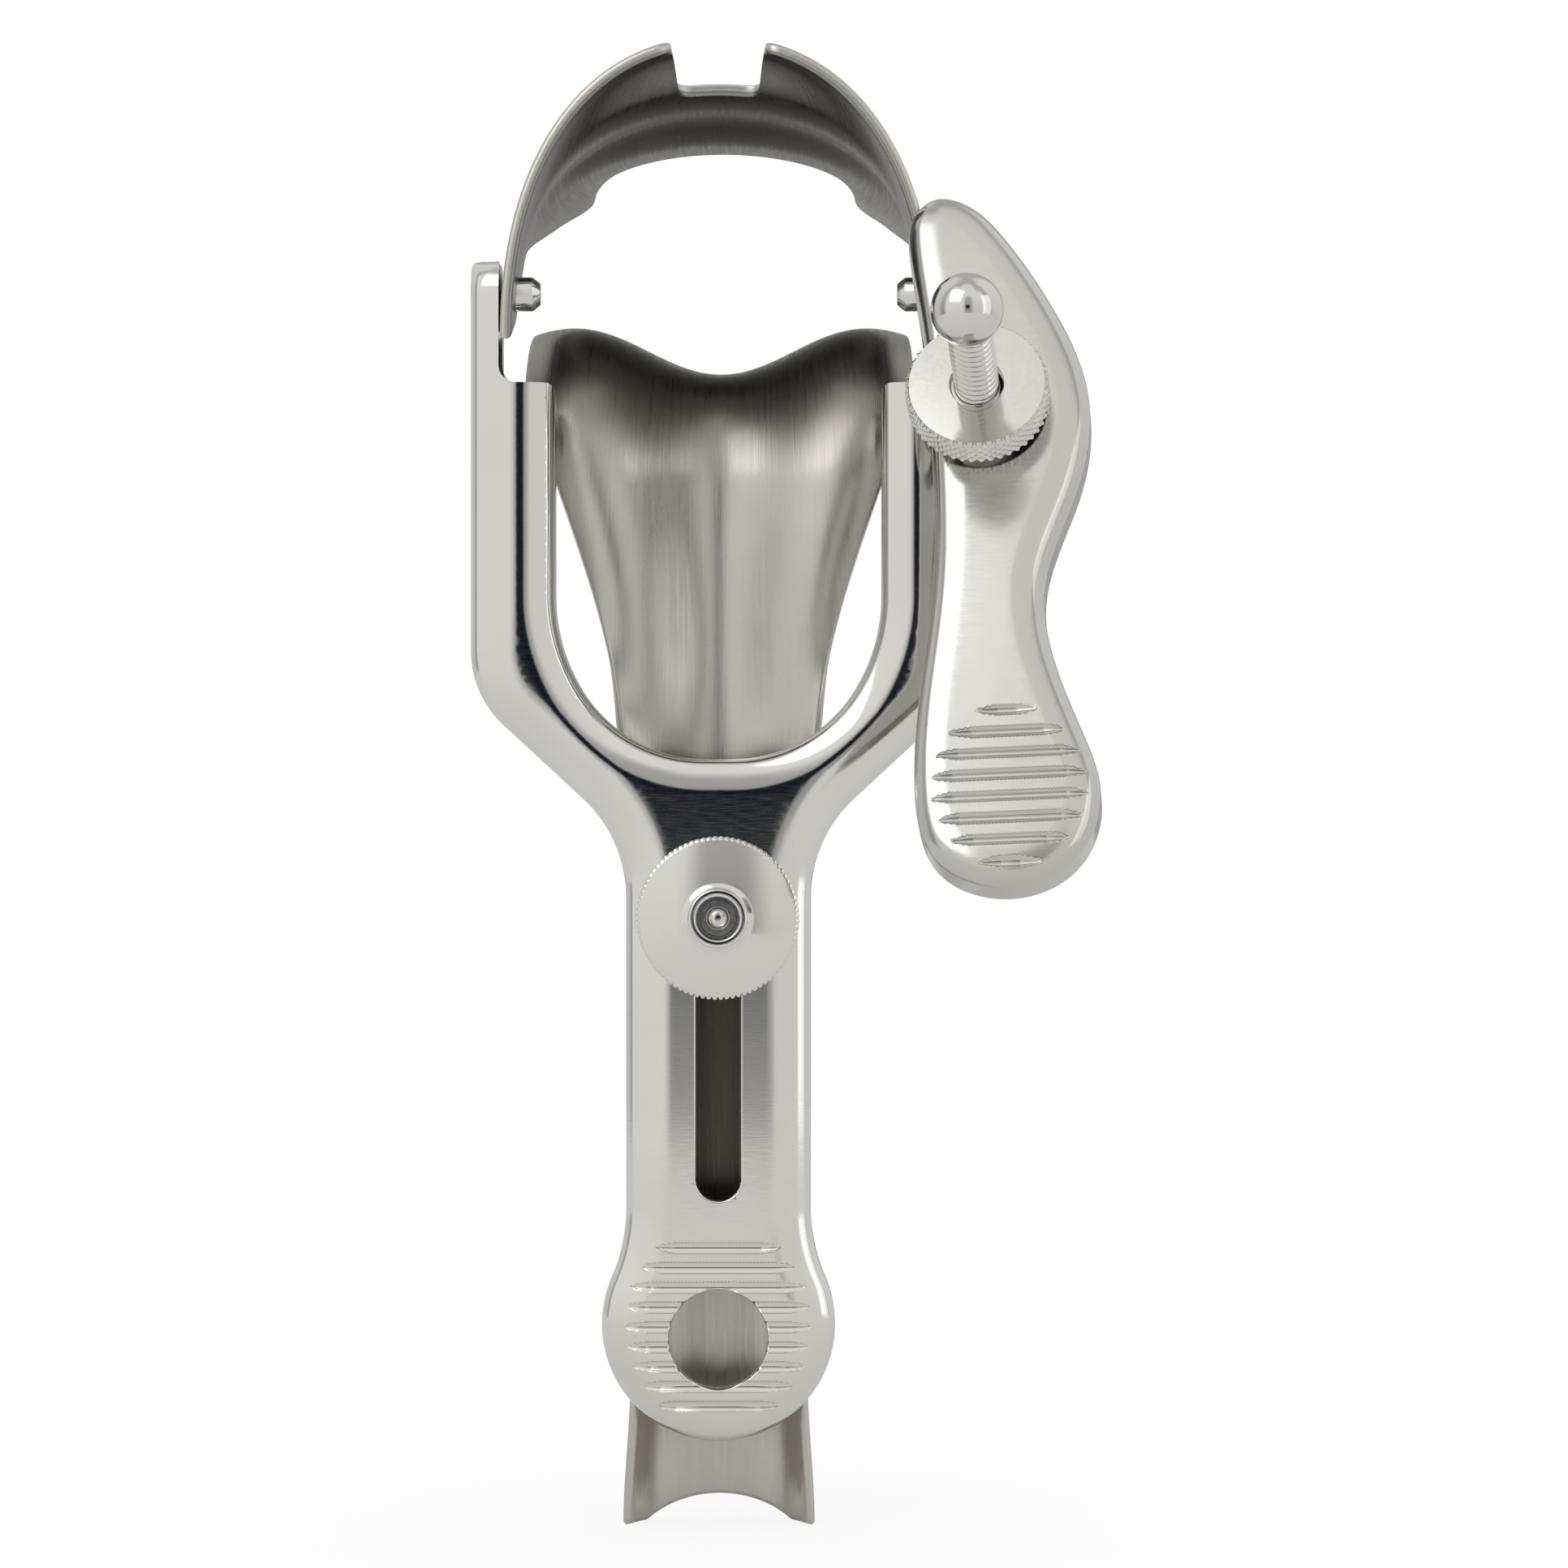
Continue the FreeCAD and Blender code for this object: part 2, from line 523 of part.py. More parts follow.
def lever_outline(inset=0.0):
    """Lever seen square to its face: narrow root, wide shoulder, waist and round pad."""
    return smooth_outline([
        (LEVER_ROOT_X - 0.8, LEVER_TOP_Z - 6.0),
        (LEVER_ROOT_X - 0.4, LEVER_TOP_Z - 2.4),
        (LEVER_ROOT_X + 2.2, LEVER_TOP_Z),
        (LEVER_ROOT_X + 5.6, LEVER_TOP_Z - 0.8),
        (LEVER_ROOT_X + 0.52 * LEVER_WIDTH, LEVER_TOP_Z - 5.0),
        (LEVER_ROOT_X + 0.78 * LEVER_WIDTH, LEVER_TOP_Z - 13.4),
        (LEVER_ROOT_X + LEVER_WIDTH, LEVER_TOP_Z - 25.8),
        (LEVER_ROOT_X + 0.93 * LEVER_WIDTH, LEVER_TOP_Z - 36.3),
        (WAIST_X + 0.5 * WAIST, PAD_Z + 2.45 * PAD_RADIUS),
        (PAD_X + 0.84 * PAD_RADIUS, PAD_Z + 0.66 * PAD_RADIUS),
        (PAD_X + PAD_RADIUS, PAD_Z),
        (PAD_X + 0.74 * PAD_RADIUS, PAD_Z - 0.76 * PAD_RADIUS),
        (PAD_X, PAD_Z - 1.08 * PAD_RADIUS),
        (PAD_X - 0.74 * PAD_RADIUS, PAD_Z - 0.76 * PAD_RADIUS),
        (PAD_X - 0.97 * PAD_RADIUS, PAD_Z + 0.1 * PAD_RADIUS),
        (WAIST_X - 0.5 * WAIST, PAD_Z + 2.45 * PAD_RADIUS),
        (LEVER_ROOT_X + 1.4, LEVER_TOP_Z - 32.8),
        (LEVER_ROOT_X + 0.3, LEVER_TOP_Z - 15.8),
    ], inset)


def lever_normal():
    """Direction square to the lever's front face, towards the user."""
    tilt = math.radians(LEVER_TILT)
    yaw = math.radians(LEVER_YAW)
    return Vector(-math.sin(yaw), -math.cos(yaw) * math.cos(tilt), math.cos(yaw) * math.sin(tilt))


def place_on_lever(shape):
    """Turn a shape drawn in the XZ plane onto the lever's plane, about the lever's root."""
    shape.translate(Vector(0, LEVER_TOP_Y, 0))
    shape.rotate(Vector(LEVER_ROOT_X, LEVER_TOP_Y, LEVER_TOP_Z), Z_AXIS, -LEVER_YAW)
    shape.rotate(Vector(LEVER_ROOT_X, LEVER_TOP_Y, LEVER_TOP_Z), X_AXIS, -LEVER_TILT)
    return shape


def screw_pivot():
    return Vector(SCREW_X, SCREW_PIVOT_Y, SCREW_PIVOT_Z)


def lever_to_pivot():
    """Distance from the cross pin to the lever's front face, along the screw."""
    root = Vector(LEVER_ROOT_X, LEVER_TOP_Y, LEVER_TOP_Z)
    return (root - screw_pivot()).dot(lever_normal())


def slot_middle():
    """Where the screw meets the lever, drawn flat before the lever is turned into place."""
    foot = screw_pivot() + lever_normal() * lever_to_pivot()
    marker = Part.Vertex(foot)
    marker.rotate(Vector(LEVER_ROOT_X, LEVER_TOP_Y, LEVER_TOP_Z), X_AXIS, LEVER_TILT)
    marker.rotate(Vector(LEVER_ROOT_X, LEVER_TOP_Y, LEVER_TOP_Z), Z_AXIS, LEVER_YAW)
    return marker.Point


def make_thumb_lever(collar):
    """Pressed lever, cut to seat on the collar's outside, where it is brazed."""
    plate = pressed_plate(lever_outline(), lever_outline(SHEET), LEVER_DEPTH, SHEET, LEVER_EDGE_ROUND)
    middle = slot_middle()
    low, high = middle.z - LEVER_SLOT_BELOW, middle.z + LEVER_SLOT_ABOVE
    plate = plate.cut(slot_cutter(LEVER_SLOT_HALF_WIDTH, low, high, middle.x))
    plate = plate.cut(rib_cutters(PAD_X, PAD_Z, PAD_RADIUS, LEVER_EDGE_ROUND, PAD_RIBS, PAD_RIB_PITCH))
    return place_on_lever(plate).cut(collar)


def along_screw(shape):
    """Turn a shape drawn along -Y from the origin onto the screw's axis, from its cross pin."""
    shape.rotate(Vector(0, 0, 0), Z_AXIS, -LEVER_YAW)
    shape.rotate(Vector(0, 0, 0), X_AXIS, -LEVER_TILT)
    shape.translate(screw_pivot())
    return shape


def revolved(points):
    """Solid turned about the Y axis from (radius, distance towards the user) points."""
    profile = Part.Wire(Part.makePolygon([Vector(r, -d, 0) for r, d in points + points[:1]]))
    return Part.Face(profile).revolve(Vector(0, 0, 0), Y_AXIS, 360)


def make_swivel_screw():
    """Flat eye, tapered neck and plain thread core, with a spigot that holds the ball."""
    eye = Part.makeCylinder(SCREW_EYE_RADIUS, SCREW_EYE_THICKNESS,
                            Vector(-SCREW_EYE_THICKNESS / 2, 0, 0), X_AXIS)
    neck_end = lever_to_pivot() - 1.0
    shank = revolved([
        (0, 0), (SCREW_NECK_RADIUS * 0.66, 0), (SCREW_NECK_RADIUS * 0.66, 2 * SCREW_EYE_RADIUS),
        (SCREW_NECK_RADIUS, neck_end - 1.2), (SCREW_RADIUS, neck_end),
        (SCREW_RADIUS, SCREW_LENGTH - BALL_RADIUS + 0.6), (0, SCREW_LENGTH - BALL_RADIUS + 0.6)])
    shank.rotate(Vector(0, 0, 0), Z_AXIS, -LEVER_YAW)
    screw = shank.fuse(eye)
    bore = Part.makeCylinder(CROSS_PIN_RADIUS + RUNNING_GAP, FAR, Vector(-FAR / 2, 0, 0), X_AXIS)
    screw = screw.cut(bore)
    screw.rotate(Vector(0, 0, 0), X_AXIS, -LEVER_TILT)
    screw.translate(screw_pivot())
    return screw


def make_swivel_ball():
    """Ball fixed on the screw's near end, bored to seat on it."""
    ball = Part.makeSphere(BALL_RADIUS, Vector(0, -SCREW_LENGTH, 0))
    seat = Part.makeCylinder(SCREW_RADIUS, SCREW_LENGTH - BALL_RADIUS + 0.6, Vector(0, 0, 0), -Y_AXIS)
    return along_screw(ball.cut(seat))


def knurled_edge(radius, low, high, teeth, depth):
    """Round grooves along the screw's direction, evenly spaced round an edge."""
    grooves = []
    for i in range(teeth):
        turn = 2 * math.pi * i / teeth
        middle = Vector(radius * math.cos(turn), -low, radius * math.sin(turn))
        grooves.append(Part.makeCylinder(depth, high - low, middle, -Y_AXIS))
    return grooves


def make_lever_nut():
    """Knurled thumb nut on the swivel screw, just clear of the lever."""
    back = lever_to_pivot() + LEVER_NUT_GAP
    front = back + LEVER_NUT_THICKNESS
    bore = SCREW_RADIUS + RUNNING_GAP
    edge = LEVER_NUT_RADIUS
    nut = revolved([(bore, back), (edge - 0.5, back), (edge, back + 0.5),
                    (edge, front - 0.5), (edge - 0.5, front), (bore, front)])
    grooves = knurled_edge(edge + 0.1, back - 0.5, front + 0.5, LEVER_NUT_TEETH, LEVER_KNURL_DEPTH)
    return along_screw(nut.cut(grooves))


def make_swivel_bracket():
    """Clevis brazed on the yoke's right arm: two ears and a web behind the screw's eye."""
    gap = SCREW_EYE_THICKNESS + 2 * EYE_SIDE_GAP
    width = 2 * BRACKET_EAR + gap
    low_z = SCREW_PIVOT_Z - BRACKET_HALF_HEIGHT
    front_y = SCREW_PIVOT_Y - BRACKET_HALF_HEIGHT + 0.6
    corner = Vector(ARM_OUTER, front_y, low_z)
    block = Part.makeBox(width, BRACKET_LENGTH, 2 * BRACKET_HALF_HEIGHT, corner)
    rounded = [e for e in block.Edges
               if e.BoundBox.XLength > width / 2 and e.BoundBox.YMax < front_y + 0.1]
    block = block.makeFillet(BRACKET_HALF_HEIGHT - 0.7, rounded)
    space_depth = BRACKET_LENGTH - BRACKET_BACK
    space = Part.makeBox(gap, space_depth, FAR, corner + Vector(BRACKET_EAR, 0, -FAR / 2))
    pin_line = Vector(ARM_OUTER, SCREW_PIVOT_Y, SCREW_PIVOT_Z)
    return block.cut([space, Part.makeCylinder(CROSS_PIN_RADIUS, FAR, pin_line, X_AXIS)])


def make_swivel_pin():
    """Cross pin pressed through the clevis, with a domed outer head."""
    width = 2 * BRACKET_EAR + SCREW_EYE_THICKNESS + 2 * EYE_SIDE_GAP
    pin = Part.makeCylinder(CROSS_PIN_RADIUS, width + 0.1, Vector(0, 0, 0), X_AXIS)
    head = Part.makeCylinder(CROSS_PIN_RADIUS * 1.6, 0.9, Vector(width, 0, 0), X_AXIS)
    outer = [e for e in head.Edges if e.BoundBox.XMin > width + 0.8]
    head = head.makeFillet(0.6, outer)
    pin = pin.fuse(head).removeSplitter()
    pin.translate(Vector(ARM_OUTER, SCREW_PIVOT_Y, SCREW_PIVOT_Z))
    return pin


def make_clamp_stud():
    """Stud riveted in the strap, with a collar behind the yoke and a domed end in the nut."""
    back = STRAP_WEB_Y + BLADE_SHEET
    radius = STUD_RADIUS
    shank = revolved([
        (0, -back - 0.9), (radius + 0.9, -back - 0.3), (radius + 0.9, -back), (radius, -back),
        (radius, -STRAP_WEB_Y), (STUD_COLLAR_RADIUS, -STRAP_WEB_Y), (STUD_COLLAR_RADIUS, -SHEET - 0.4),
        (radius, -SHEET - 0.4), (radius, CLAMP_NUT_THICKNESS - 2.0), (1.25, CLAMP_NUT_THICKNESS - 2.0),
        (1.25, CLAMP_NUT_THICKNESS - 1.3), (0.8, CLAMP_NUT_THICKNESS - 0.8), (0, CLAMP_NUT_THICKNESS - 0.7)])
    shank.translate(Vector(0, 0, STUD_Z))
    return shank


def make_clamp_nut():
    """Round thumb nut: domed face, raised ring round a recess, finely notched edge."""
    front = CLAMP_NUT_THICKNESS
    edge = CLAMP_NUT_RADIUS
    crown = CLAMP_NUT_CROWN
    bore = STUD_RADIUS + RUNNING_GAP
    low = CLAMP_NUT_GAP
    dome_radius = (edge ** 2 + crown ** 2) / (2 * crown)
    profile = [(bore, low), (edge - 2.4, low), (edge - 0.2, low + 1.4), (edge, low + 1.7),
               (edge, front - crown)]
    dome_steps = 6
    for i in range(1, dome_steps + 1):
        r = edge + (CLAMP_BOSS_RADIUS + 0.5 - edge) * i / dome_steps
        profile.append((r, front - dome_radius + math.sqrt(dome_radius ** 2 - r ** 2)))
    profile += [(CLAMP_BOSS_RADIUS, front + 0.35), (CLAMP_RECESS_RADIUS + 0.25, front + 0.35),
                (CLAMP_RECESS_RADIUS, front + 0.1), (CLAMP_RECESS_RADIUS, front - 1.9), (bore, front - 1.9)]
    nut = revolved(profile)
    grooves = knurled_edge(edge + 0.05, low, front, CLAMP_NUT_TEETH, CLAMP_KNURL_DEPTH)
    nut = nut.cut(grooves)
    nut.translate(Vector(0, 0, STUD_Z))
    return nut


def main():
    os.makedirs("parts", exist_ok=True)
    upper_blade = make_upper_blade()
    parts = {
        "yoke": make_yoke(),
        "lower_blade": make_lower_blade(),
        "upper_blade": upper_blade,
        "thumb_lever": make_thumb_lever(upper_blade),
        "pivot_pin_left": make_pivot_pin(-1),
        "pivot_pin_right": make_pivot_pin(1),
        "clamp_stud": make_clamp_stud(),
        "clamp_nut": make_clamp_nut(),
        "swivel_bracket": make_swivel_bracket(),
        "swivel_pin": make_swivel_pin(),
        "swivel_screw": make_swivel_screw(),
        "swivel_ball": make_swivel_ball(),
        "lever_nut": make_lever_nut(),
    }
    for name, shape in parts.items():
        box = shape.BoundBox
        corners = [round(v, 2) for v in (box.XMin, box.YMin, box.ZMin, box.XMax, box.YMax, box.ZMax)]
        print(name, shape.isValid(), len(shape.Solids), round(shape.Volume, 1), corners)
        shape.exportStep("parts/" + name + ".step")


main()
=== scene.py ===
import json
import math

import bmesh
import bpy
import numpy as np
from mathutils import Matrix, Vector
from mathutils.geometry import delaunay_2d_cdt


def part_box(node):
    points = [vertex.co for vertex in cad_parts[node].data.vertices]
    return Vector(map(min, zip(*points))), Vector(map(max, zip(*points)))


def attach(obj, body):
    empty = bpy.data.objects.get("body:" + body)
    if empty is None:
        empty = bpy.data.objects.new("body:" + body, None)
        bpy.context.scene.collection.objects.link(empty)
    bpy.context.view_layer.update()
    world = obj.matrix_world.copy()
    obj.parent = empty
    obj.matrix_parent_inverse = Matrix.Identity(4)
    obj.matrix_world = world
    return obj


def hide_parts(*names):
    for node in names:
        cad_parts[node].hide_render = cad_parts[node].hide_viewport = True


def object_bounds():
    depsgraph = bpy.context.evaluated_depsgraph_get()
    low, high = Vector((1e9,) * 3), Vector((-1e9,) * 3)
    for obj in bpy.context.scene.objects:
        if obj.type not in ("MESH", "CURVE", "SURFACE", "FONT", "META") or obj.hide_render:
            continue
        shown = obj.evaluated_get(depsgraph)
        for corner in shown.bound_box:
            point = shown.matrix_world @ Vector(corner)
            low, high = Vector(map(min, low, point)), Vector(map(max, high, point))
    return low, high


# A polished steel speculum with two blades, seen from the front. Shapes are worked out in
# millimetres and put into meshes in metres. +Z is up the handle, +Y runs along the blades.

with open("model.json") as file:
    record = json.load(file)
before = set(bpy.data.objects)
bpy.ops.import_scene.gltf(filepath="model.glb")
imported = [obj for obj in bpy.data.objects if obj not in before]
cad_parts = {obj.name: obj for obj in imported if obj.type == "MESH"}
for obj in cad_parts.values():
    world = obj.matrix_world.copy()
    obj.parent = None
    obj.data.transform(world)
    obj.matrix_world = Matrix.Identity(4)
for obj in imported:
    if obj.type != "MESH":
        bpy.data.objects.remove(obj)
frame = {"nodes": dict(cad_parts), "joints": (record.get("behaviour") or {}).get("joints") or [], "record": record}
cad_low, cad_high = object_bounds()
JOINTS = {joint["name"]: joint for joint in frame["joints"]}
MM = 0.001


def in_mm(point):
    return np.array(point, float) / MM


# Places taken from the frame
HINGE = in_mm(JOINTS["blade_hinge"]["pos_m"])
STUD = in_mm(JOINTS["clamp_nut_turn"]["pos_m"])
SCREW_PIVOT = in_mm(JOINTS["screw_swivel"]["pos_m"])
SCREW_AXIS = np.array(JOINTS["lever_nut_travel"]["axis"], float)
HOLE_RADIUS = frame["record"]["mounts"][0]["dims"]["r_mm"]
YOKE_LOW, YOKE_HIGH = (in_mm(corner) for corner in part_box("yoke"))
STRAP_LOW, STRAP_HIGH = (in_mm(corner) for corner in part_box("lower_blade"))
CLAMP_LOW, CLAMP_HIGH = (in_mm(corner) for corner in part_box("clamp_nut"))

# Sheet metal
SHEET = 1.5
BLADE_SHEET = 1.3
END_REACH = 20.0          # a hollow or notched end of a sheet is level again this far in

# Meshes, with steps in millimetres
SKIN_STEP = 0.45          # between points along an edge
HOLE_STEP = 0.15          # and along a hole's edge
BORDER_STEP = 0.42        # between rows of points across a border
GRID_STEP = 0.9           # between points of the plain middle
RIB_STEPS = (0.4, 0.1)    # along and across the ribs
EDGE_CLEARANCE = 0.008    # no inner point is closer to an edge
MERGE_STEP = 0.045        # inner points closer than this become one
WELD_CELLS = 2000         # points in the same cell of 1 / 2000 mm are welded
ON_EDGE = 0.02            # a point this close to an edge is on it
SHARP_ANGLE = 38          # degrees between faces from which their edge stays sharp
INSIDE_MARK = 9.0         # the grain attribute's Z on a sheet's inside face, 0 on its outside
SIDES = {1: "right", -1: "left"}

# Yoke
ARM_OUTER = YOKE_HIGH[0]
ARM_INNER = 18.2
ARM_TOP = 106.2
EAR_TOP = YOKE_HIGH[2]
EAR_BACK = YOKE_HIGH[1]
EAR_THICKNESS = 3.2
EAR_ROUND = 3.5
SHOULDER_Z = 71.5
OPENING_BOTTOM = 64.4
HANDLE_HALF_WIDTH = 10.3
HANDLE_TOP = 51.0
FOOT_RADIUS = 13.0
FOOT_CENTRE_Z = YOKE_LOW[2] + FOOT_RADIUS
FOOT_NECK_RADIUS = 20.0
YOKE_DEPTH = 5.2
# Borders of the pressed pieces: width of the crowned border, how far it falls, edge radius
YOKE_OUTER_BORDER = (5.4, 1.7, 0.9)
YOKE_INNER_BORDER = (4.0, 1.25, 0.9)
LEVER_BORDER = (3.6, 1.0, 1.5)
HOLE_BORDER = (0.0, 0.0, 0.22)
SLOT_HALF_WIDTH = 2.5
SLOT_TRAVEL = JOINTS["handle_slide"]["range_m"][1] / MM

# Finger ribs
RIB_PITCH = 2.2
PAD_RIB_PITCH = 2.45
RIB_DEPTH = 0.34
RIB_HALF_WIDTH = 0.62
FOOT_RIBS = 9
PAD_RIBS = 8

# Lower blade
STRAP_BOTTOM = STRAP_LOW[2]
STRAP_HALF_WIDTH = HANDLE_HALF_WIDTH - BLADE_SHEET
STRAP_LIP = 5.0
STRAP_END_HALF_WIDTH = 9.8
STRAP_END_HOLLOW = 2.7
STRAP_END_RADIUS = 13.0
SLIDE_GAP = 0.3
SADDLE_RADIUS = 14.0
SADDLE_TOP = 109.2
SADDLE_HALF_WIDTH = 22.2
SADDLE_LIP = 5.3
STRAP_WEB_Y = YOKE_DEPTH + SLIDE_GAP + max(STRAP_LIP, SADDLE_LIP)
LOWER_BLADE_LENGTH = STRAP_HIGH[1] - STRAP_WEB_Y
BEND_START = SADDLE_TOP - SADDLE_RADIUS - STRAP_BOTTOM      # along the sheet from the strap's end
BEND_END = BEND_START + SADDLE_RADIUS * math.pi / 2
LOWER_LENGTH = BEND_END + LOWER_BLADE_LENGTH - SADDLE_RADIUS
LIP_ROLL = math.radians(120)                               # turn of the saddle's rolled lips
LOWER_BLADE_HALF_WIDTH = 18.0
LOWER_BLADE_DEPTH = 8.6

# Upper blade and collar
OPEN_ANGLE = -JOINTS["blade_hinge"]["range_deg"][0]
CLOSED_GAP = 0.5
COLLAR_HEIGHT = 33.4
COLLAR_FRONT_Y = -3.5
COLLAR_LEG = 3.4
COLLAR_HALF_WIDTH = ARM_OUTER - EAR_THICKNESS - 0.3
NOTCH_HALF_WIDTH = 4.3
NOTCH_DEPTH = 9.0
NOTCH_ROUND = 1.6
NOTCH_SIDE = 0.25         # half the width over which the notch's side rises
UPPER_BLADE_LENGTH = 104.0
UPPER_BLADE_HALF_WIDTH = 17.4
UPPER_BLADE_DEPTH = 8.8
UPPER_TIP_DEPTH = 7.0
COLLAR_NECK = 56.0

# Thumb lever
LEVER_TILT = math.radians(25.0)
LEVER_YAW = math.radians(6.0)
LEVER_DEPTH = 5.4
LEVER_ROOT = np.array([21.6, -3.6, 126.8])
LEVER_WIDTH = 18.4
WAIST = 12.0
WAIST_X = 28.8
PAD_X = 30.1
PAD_Z = 54.4
PAD_RADIUS = 9.8
LEVER_SLOT_HALF_WIDTH = 3.2
LEVER_SLOT_BELOW = 3.4
LEVER_SLOT_ABOVE = 4.2

# Screw, ball and nuts
SCREW_RADIUS = 2.4
SCREW_EYE_RADIUS = 2.9
SCREW_EYE_THICKNESS = 3.0
SCREW_LENGTH = 42.0
THREAD_PITCH = 1.0
THREAD_DEPTH = 0.34
BALL_RADIUS = 3.8
LEVER_NUT_RADIUS = 7.7
LEVER_NUT_THICKNESS = 4.0
LEVER_NUT_GAP = 0.8
DIAMONDS = 46             # diamonds round the lever nut's edge
DIAMOND_DEPTH = 0.42
CLAMP_NUT_RADIUS = (CLAMP_HIGH[0] - CLAMP_LOW[0]) / 2
CLAMP_NUT_THICKNESS = 4.2
CLAMP_NUT_CROWN = 1.1
CLAMP_BOSS_RADIUS = 3.3
CLAMP_RECESS_RADIUS = 2.4
CLAMP_NOTCHES = 84
CLAMP_NOTCH_DEPTH = 0.18
STUD_RADIUS = 2.0
PIN_RADIUS = 1.9
PIN_INNER_STUB = 2.8

# Camera and light
VIEW_POINT = np.array([7.3, -500.0, 61.6])
LENS = 103.5
LAMP_TARGET = (0, 0, 0.07)


def new_object(name, data):
    piece = bpy.data.objects.new(name, data)
    bpy.context.scene.collection.objects.link(piece)
    return piece


def put_mesh(name, points, faces, normals):
    """Mesh object at the origin from points in millimetres, faces and the points' normals."""
    mesh = bpy.data.meshes.new(name)
    mesh.from_pydata((points * MM).tolist(), [], faces.tolist())
    mesh.polygons.foreach_set("use_smooth", np.ones(len(mesh.polygons), bool))
    mesh.validate()
    mesh.normals_split_custom_set_from_vertices(normals.tolist())
    return new_object(name, mesh)


def grid_faces(rows, columns, wrap_columns=False):
    """Four-sided faces of a rows by columns grid of points, joined round where it wraps."""
    row = np.arange(rows - 1)[:, None]
    column = np.arange(columns if wrap_columns else columns - 1)[None, :]
    next_row, next_column = row + 1, (column + 1) % columns
    corners = [row * columns + column, row * columns + next_column,
               next_row * columns + next_column, next_row * columns + column]
    return np.stack(corners, -1).reshape(-1, 4)


def welded(points, faces):
    """Points and faces with points that share a place made one, and the kept points' numbers."""
    keys = np.round(points * WELD_CELLS).astype(np.int64)
    _, index, inverse = np.unique(keys, axis=0, return_index=True, return_inverse=True)
    return points[index], inverse.reshape(-1)[faces], index


def closed_mesh(name, points, faces, sharp=None, grain=None):
    """Object from a grid of points and faces, welded, facing outwards and shaded smooth.

    grain gives each point's place in millimetres across and along a sheet, for its brush marks.
    """
    points, faces, index = welded(points, faces)
    mesh = bpy.data.meshes.new(name)
    mesh.from_pydata((points * MM).tolist(), [], clean_faces(faces))
    mesh.polygons.foreach_set("use_smooth", np.ones(len(mesh.polygons), bool))
    if grain is not None:
        layer = mesh.attributes.new("grain", "FLOAT_VECTOR", "POINT")
        layer.data.foreach_set("vector", grain[index].ravel())
    work = bmesh.new()
    work.from_mesh(mesh)
    bmesh.ops.recalc_face_normals(work, faces=work.faces)
    work.to_mesh(mesh)
    work.free()
    if sharp is not None:
        mesh.set_sharp_from_angle(angle=math.radians(sharp))
    return new_object(name, mesh)


def clean_faces(faces):
    """Lists of corners with repeats removed, without faces that have under three corners."""
    kept = []
    for face in faces.tolist():
        corners = [c for i, c in enumerate(face) if c != face[i - 1]]
        if len(set(corners)) >= 3:
            kept.append(corners)
    return kept


def smooth_step(value, low, high):
    t = np.clip((value - low) / (high - low), 0, 1)
    return t * t * (3 - 2 * t)


def through(stations, place):
    """Smooth value at each place along (place, value) stations, with no overshoot between them.

    Each span is a cubic whose end slopes are the harmonic mean of the slopes on either side.
    """
    at, value = np.array(stations, float).T
    slope = np.diff(value) / np.diff(at)
    product = slope[:-1] * slope[1:]
    total = slope[:-1] + slope[1:]
    inner = np.where(product > 0, 2 * product / np.where(total == 0, 1, total), 0)
    ends = np.concatenate([[0], inner, [0]])
    place = np.clip(place, at[0], at[-1])
    i = np.clip(np.searchsorted(at, place, side="right") - 1, 0, len(at) - 2)
    span = at[i + 1] - at[i]
    t = (place - at[i]) / span
    return (value[i] * (1 + 2 * t) * (1 - t) ** 2 + ends[i] * span * t * (1 - t) ** 2
            + value[i + 1] * t * t * (3 - 2 * t) - ends[i + 1] * span * t * t * (1 - t))


def closing(loop):
    """The loop's points with the first one once more at the end."""
    return np.vstack([loop, loop[:1]])


def evenly_spaced(line, step, closed):
    """Points on a line of short segments, about one step apart, without the last if it is closed."""
    run = np.concatenate([[0], np.cumsum(np.linalg.norm(np.diff(line, axis=0), axis=1))])
    wanted = np.linspace(0, run[-1], int(round(run[-1] / step)) + 1)
    if closed:
        wanted = wanted[:-1]
    return np.stack([np.interp(wanted, run, line[:, 0]), np.interp(wanted, run, line[:, 1])], 1)


def rounded_line(corners, closed=True, step=SKIN_STEP):
    """Evenly spaced points along straight runs joined by an arc of each corner's radius."""
    places = np.array([corner[:2] for corner in corners], float)
    radii = np.array([corner[2] for corner in corners], float)
    before = np.roll(places, 1, 0) - places
    after = np.roll(places, -1, 0) - places
    before /= np.linalg.norm(before, axis=1)[:, None]
    after /= np.linalg.norm(after, axis=1)[:, None]
    half = np.arccos(np.clip((before * after).sum(1), -1, 1)) / 2
    middle = before + after
    middle /= np.linalg.norm(middle, axis=1)[:, None]
    centre = places + middle * (radii / np.sin(half))[:, None]
    start = places + before * (radii / np.tan(half))[:, None]
    end = places + after * (radii / np.tan(half))[:, None]
    share = np.linspace(0, 1, 49)
    arms = start[:, None] - centre[:, None], end[:, None] - centre[:, None]
    sweep = (np.pi - 2 * half)[:, None]
    weight_start = np.sin((1 - share) * sweep) / np.sin(sweep)
    weight_end = np.sin(share * sweep) / np.sin(sweep)
    arcs = centre[:, None] + arms[0] * weight_start[..., None] + arms[1] * weight_end[..., None]
    if closed:
        line = closing(arcs.reshape(-1, 2))
    else:
        line = np.vstack([places[:1], arcs[1:-1].reshape(-1, 2), places[-1:]])
    return evenly_spaced(line, step, closed)


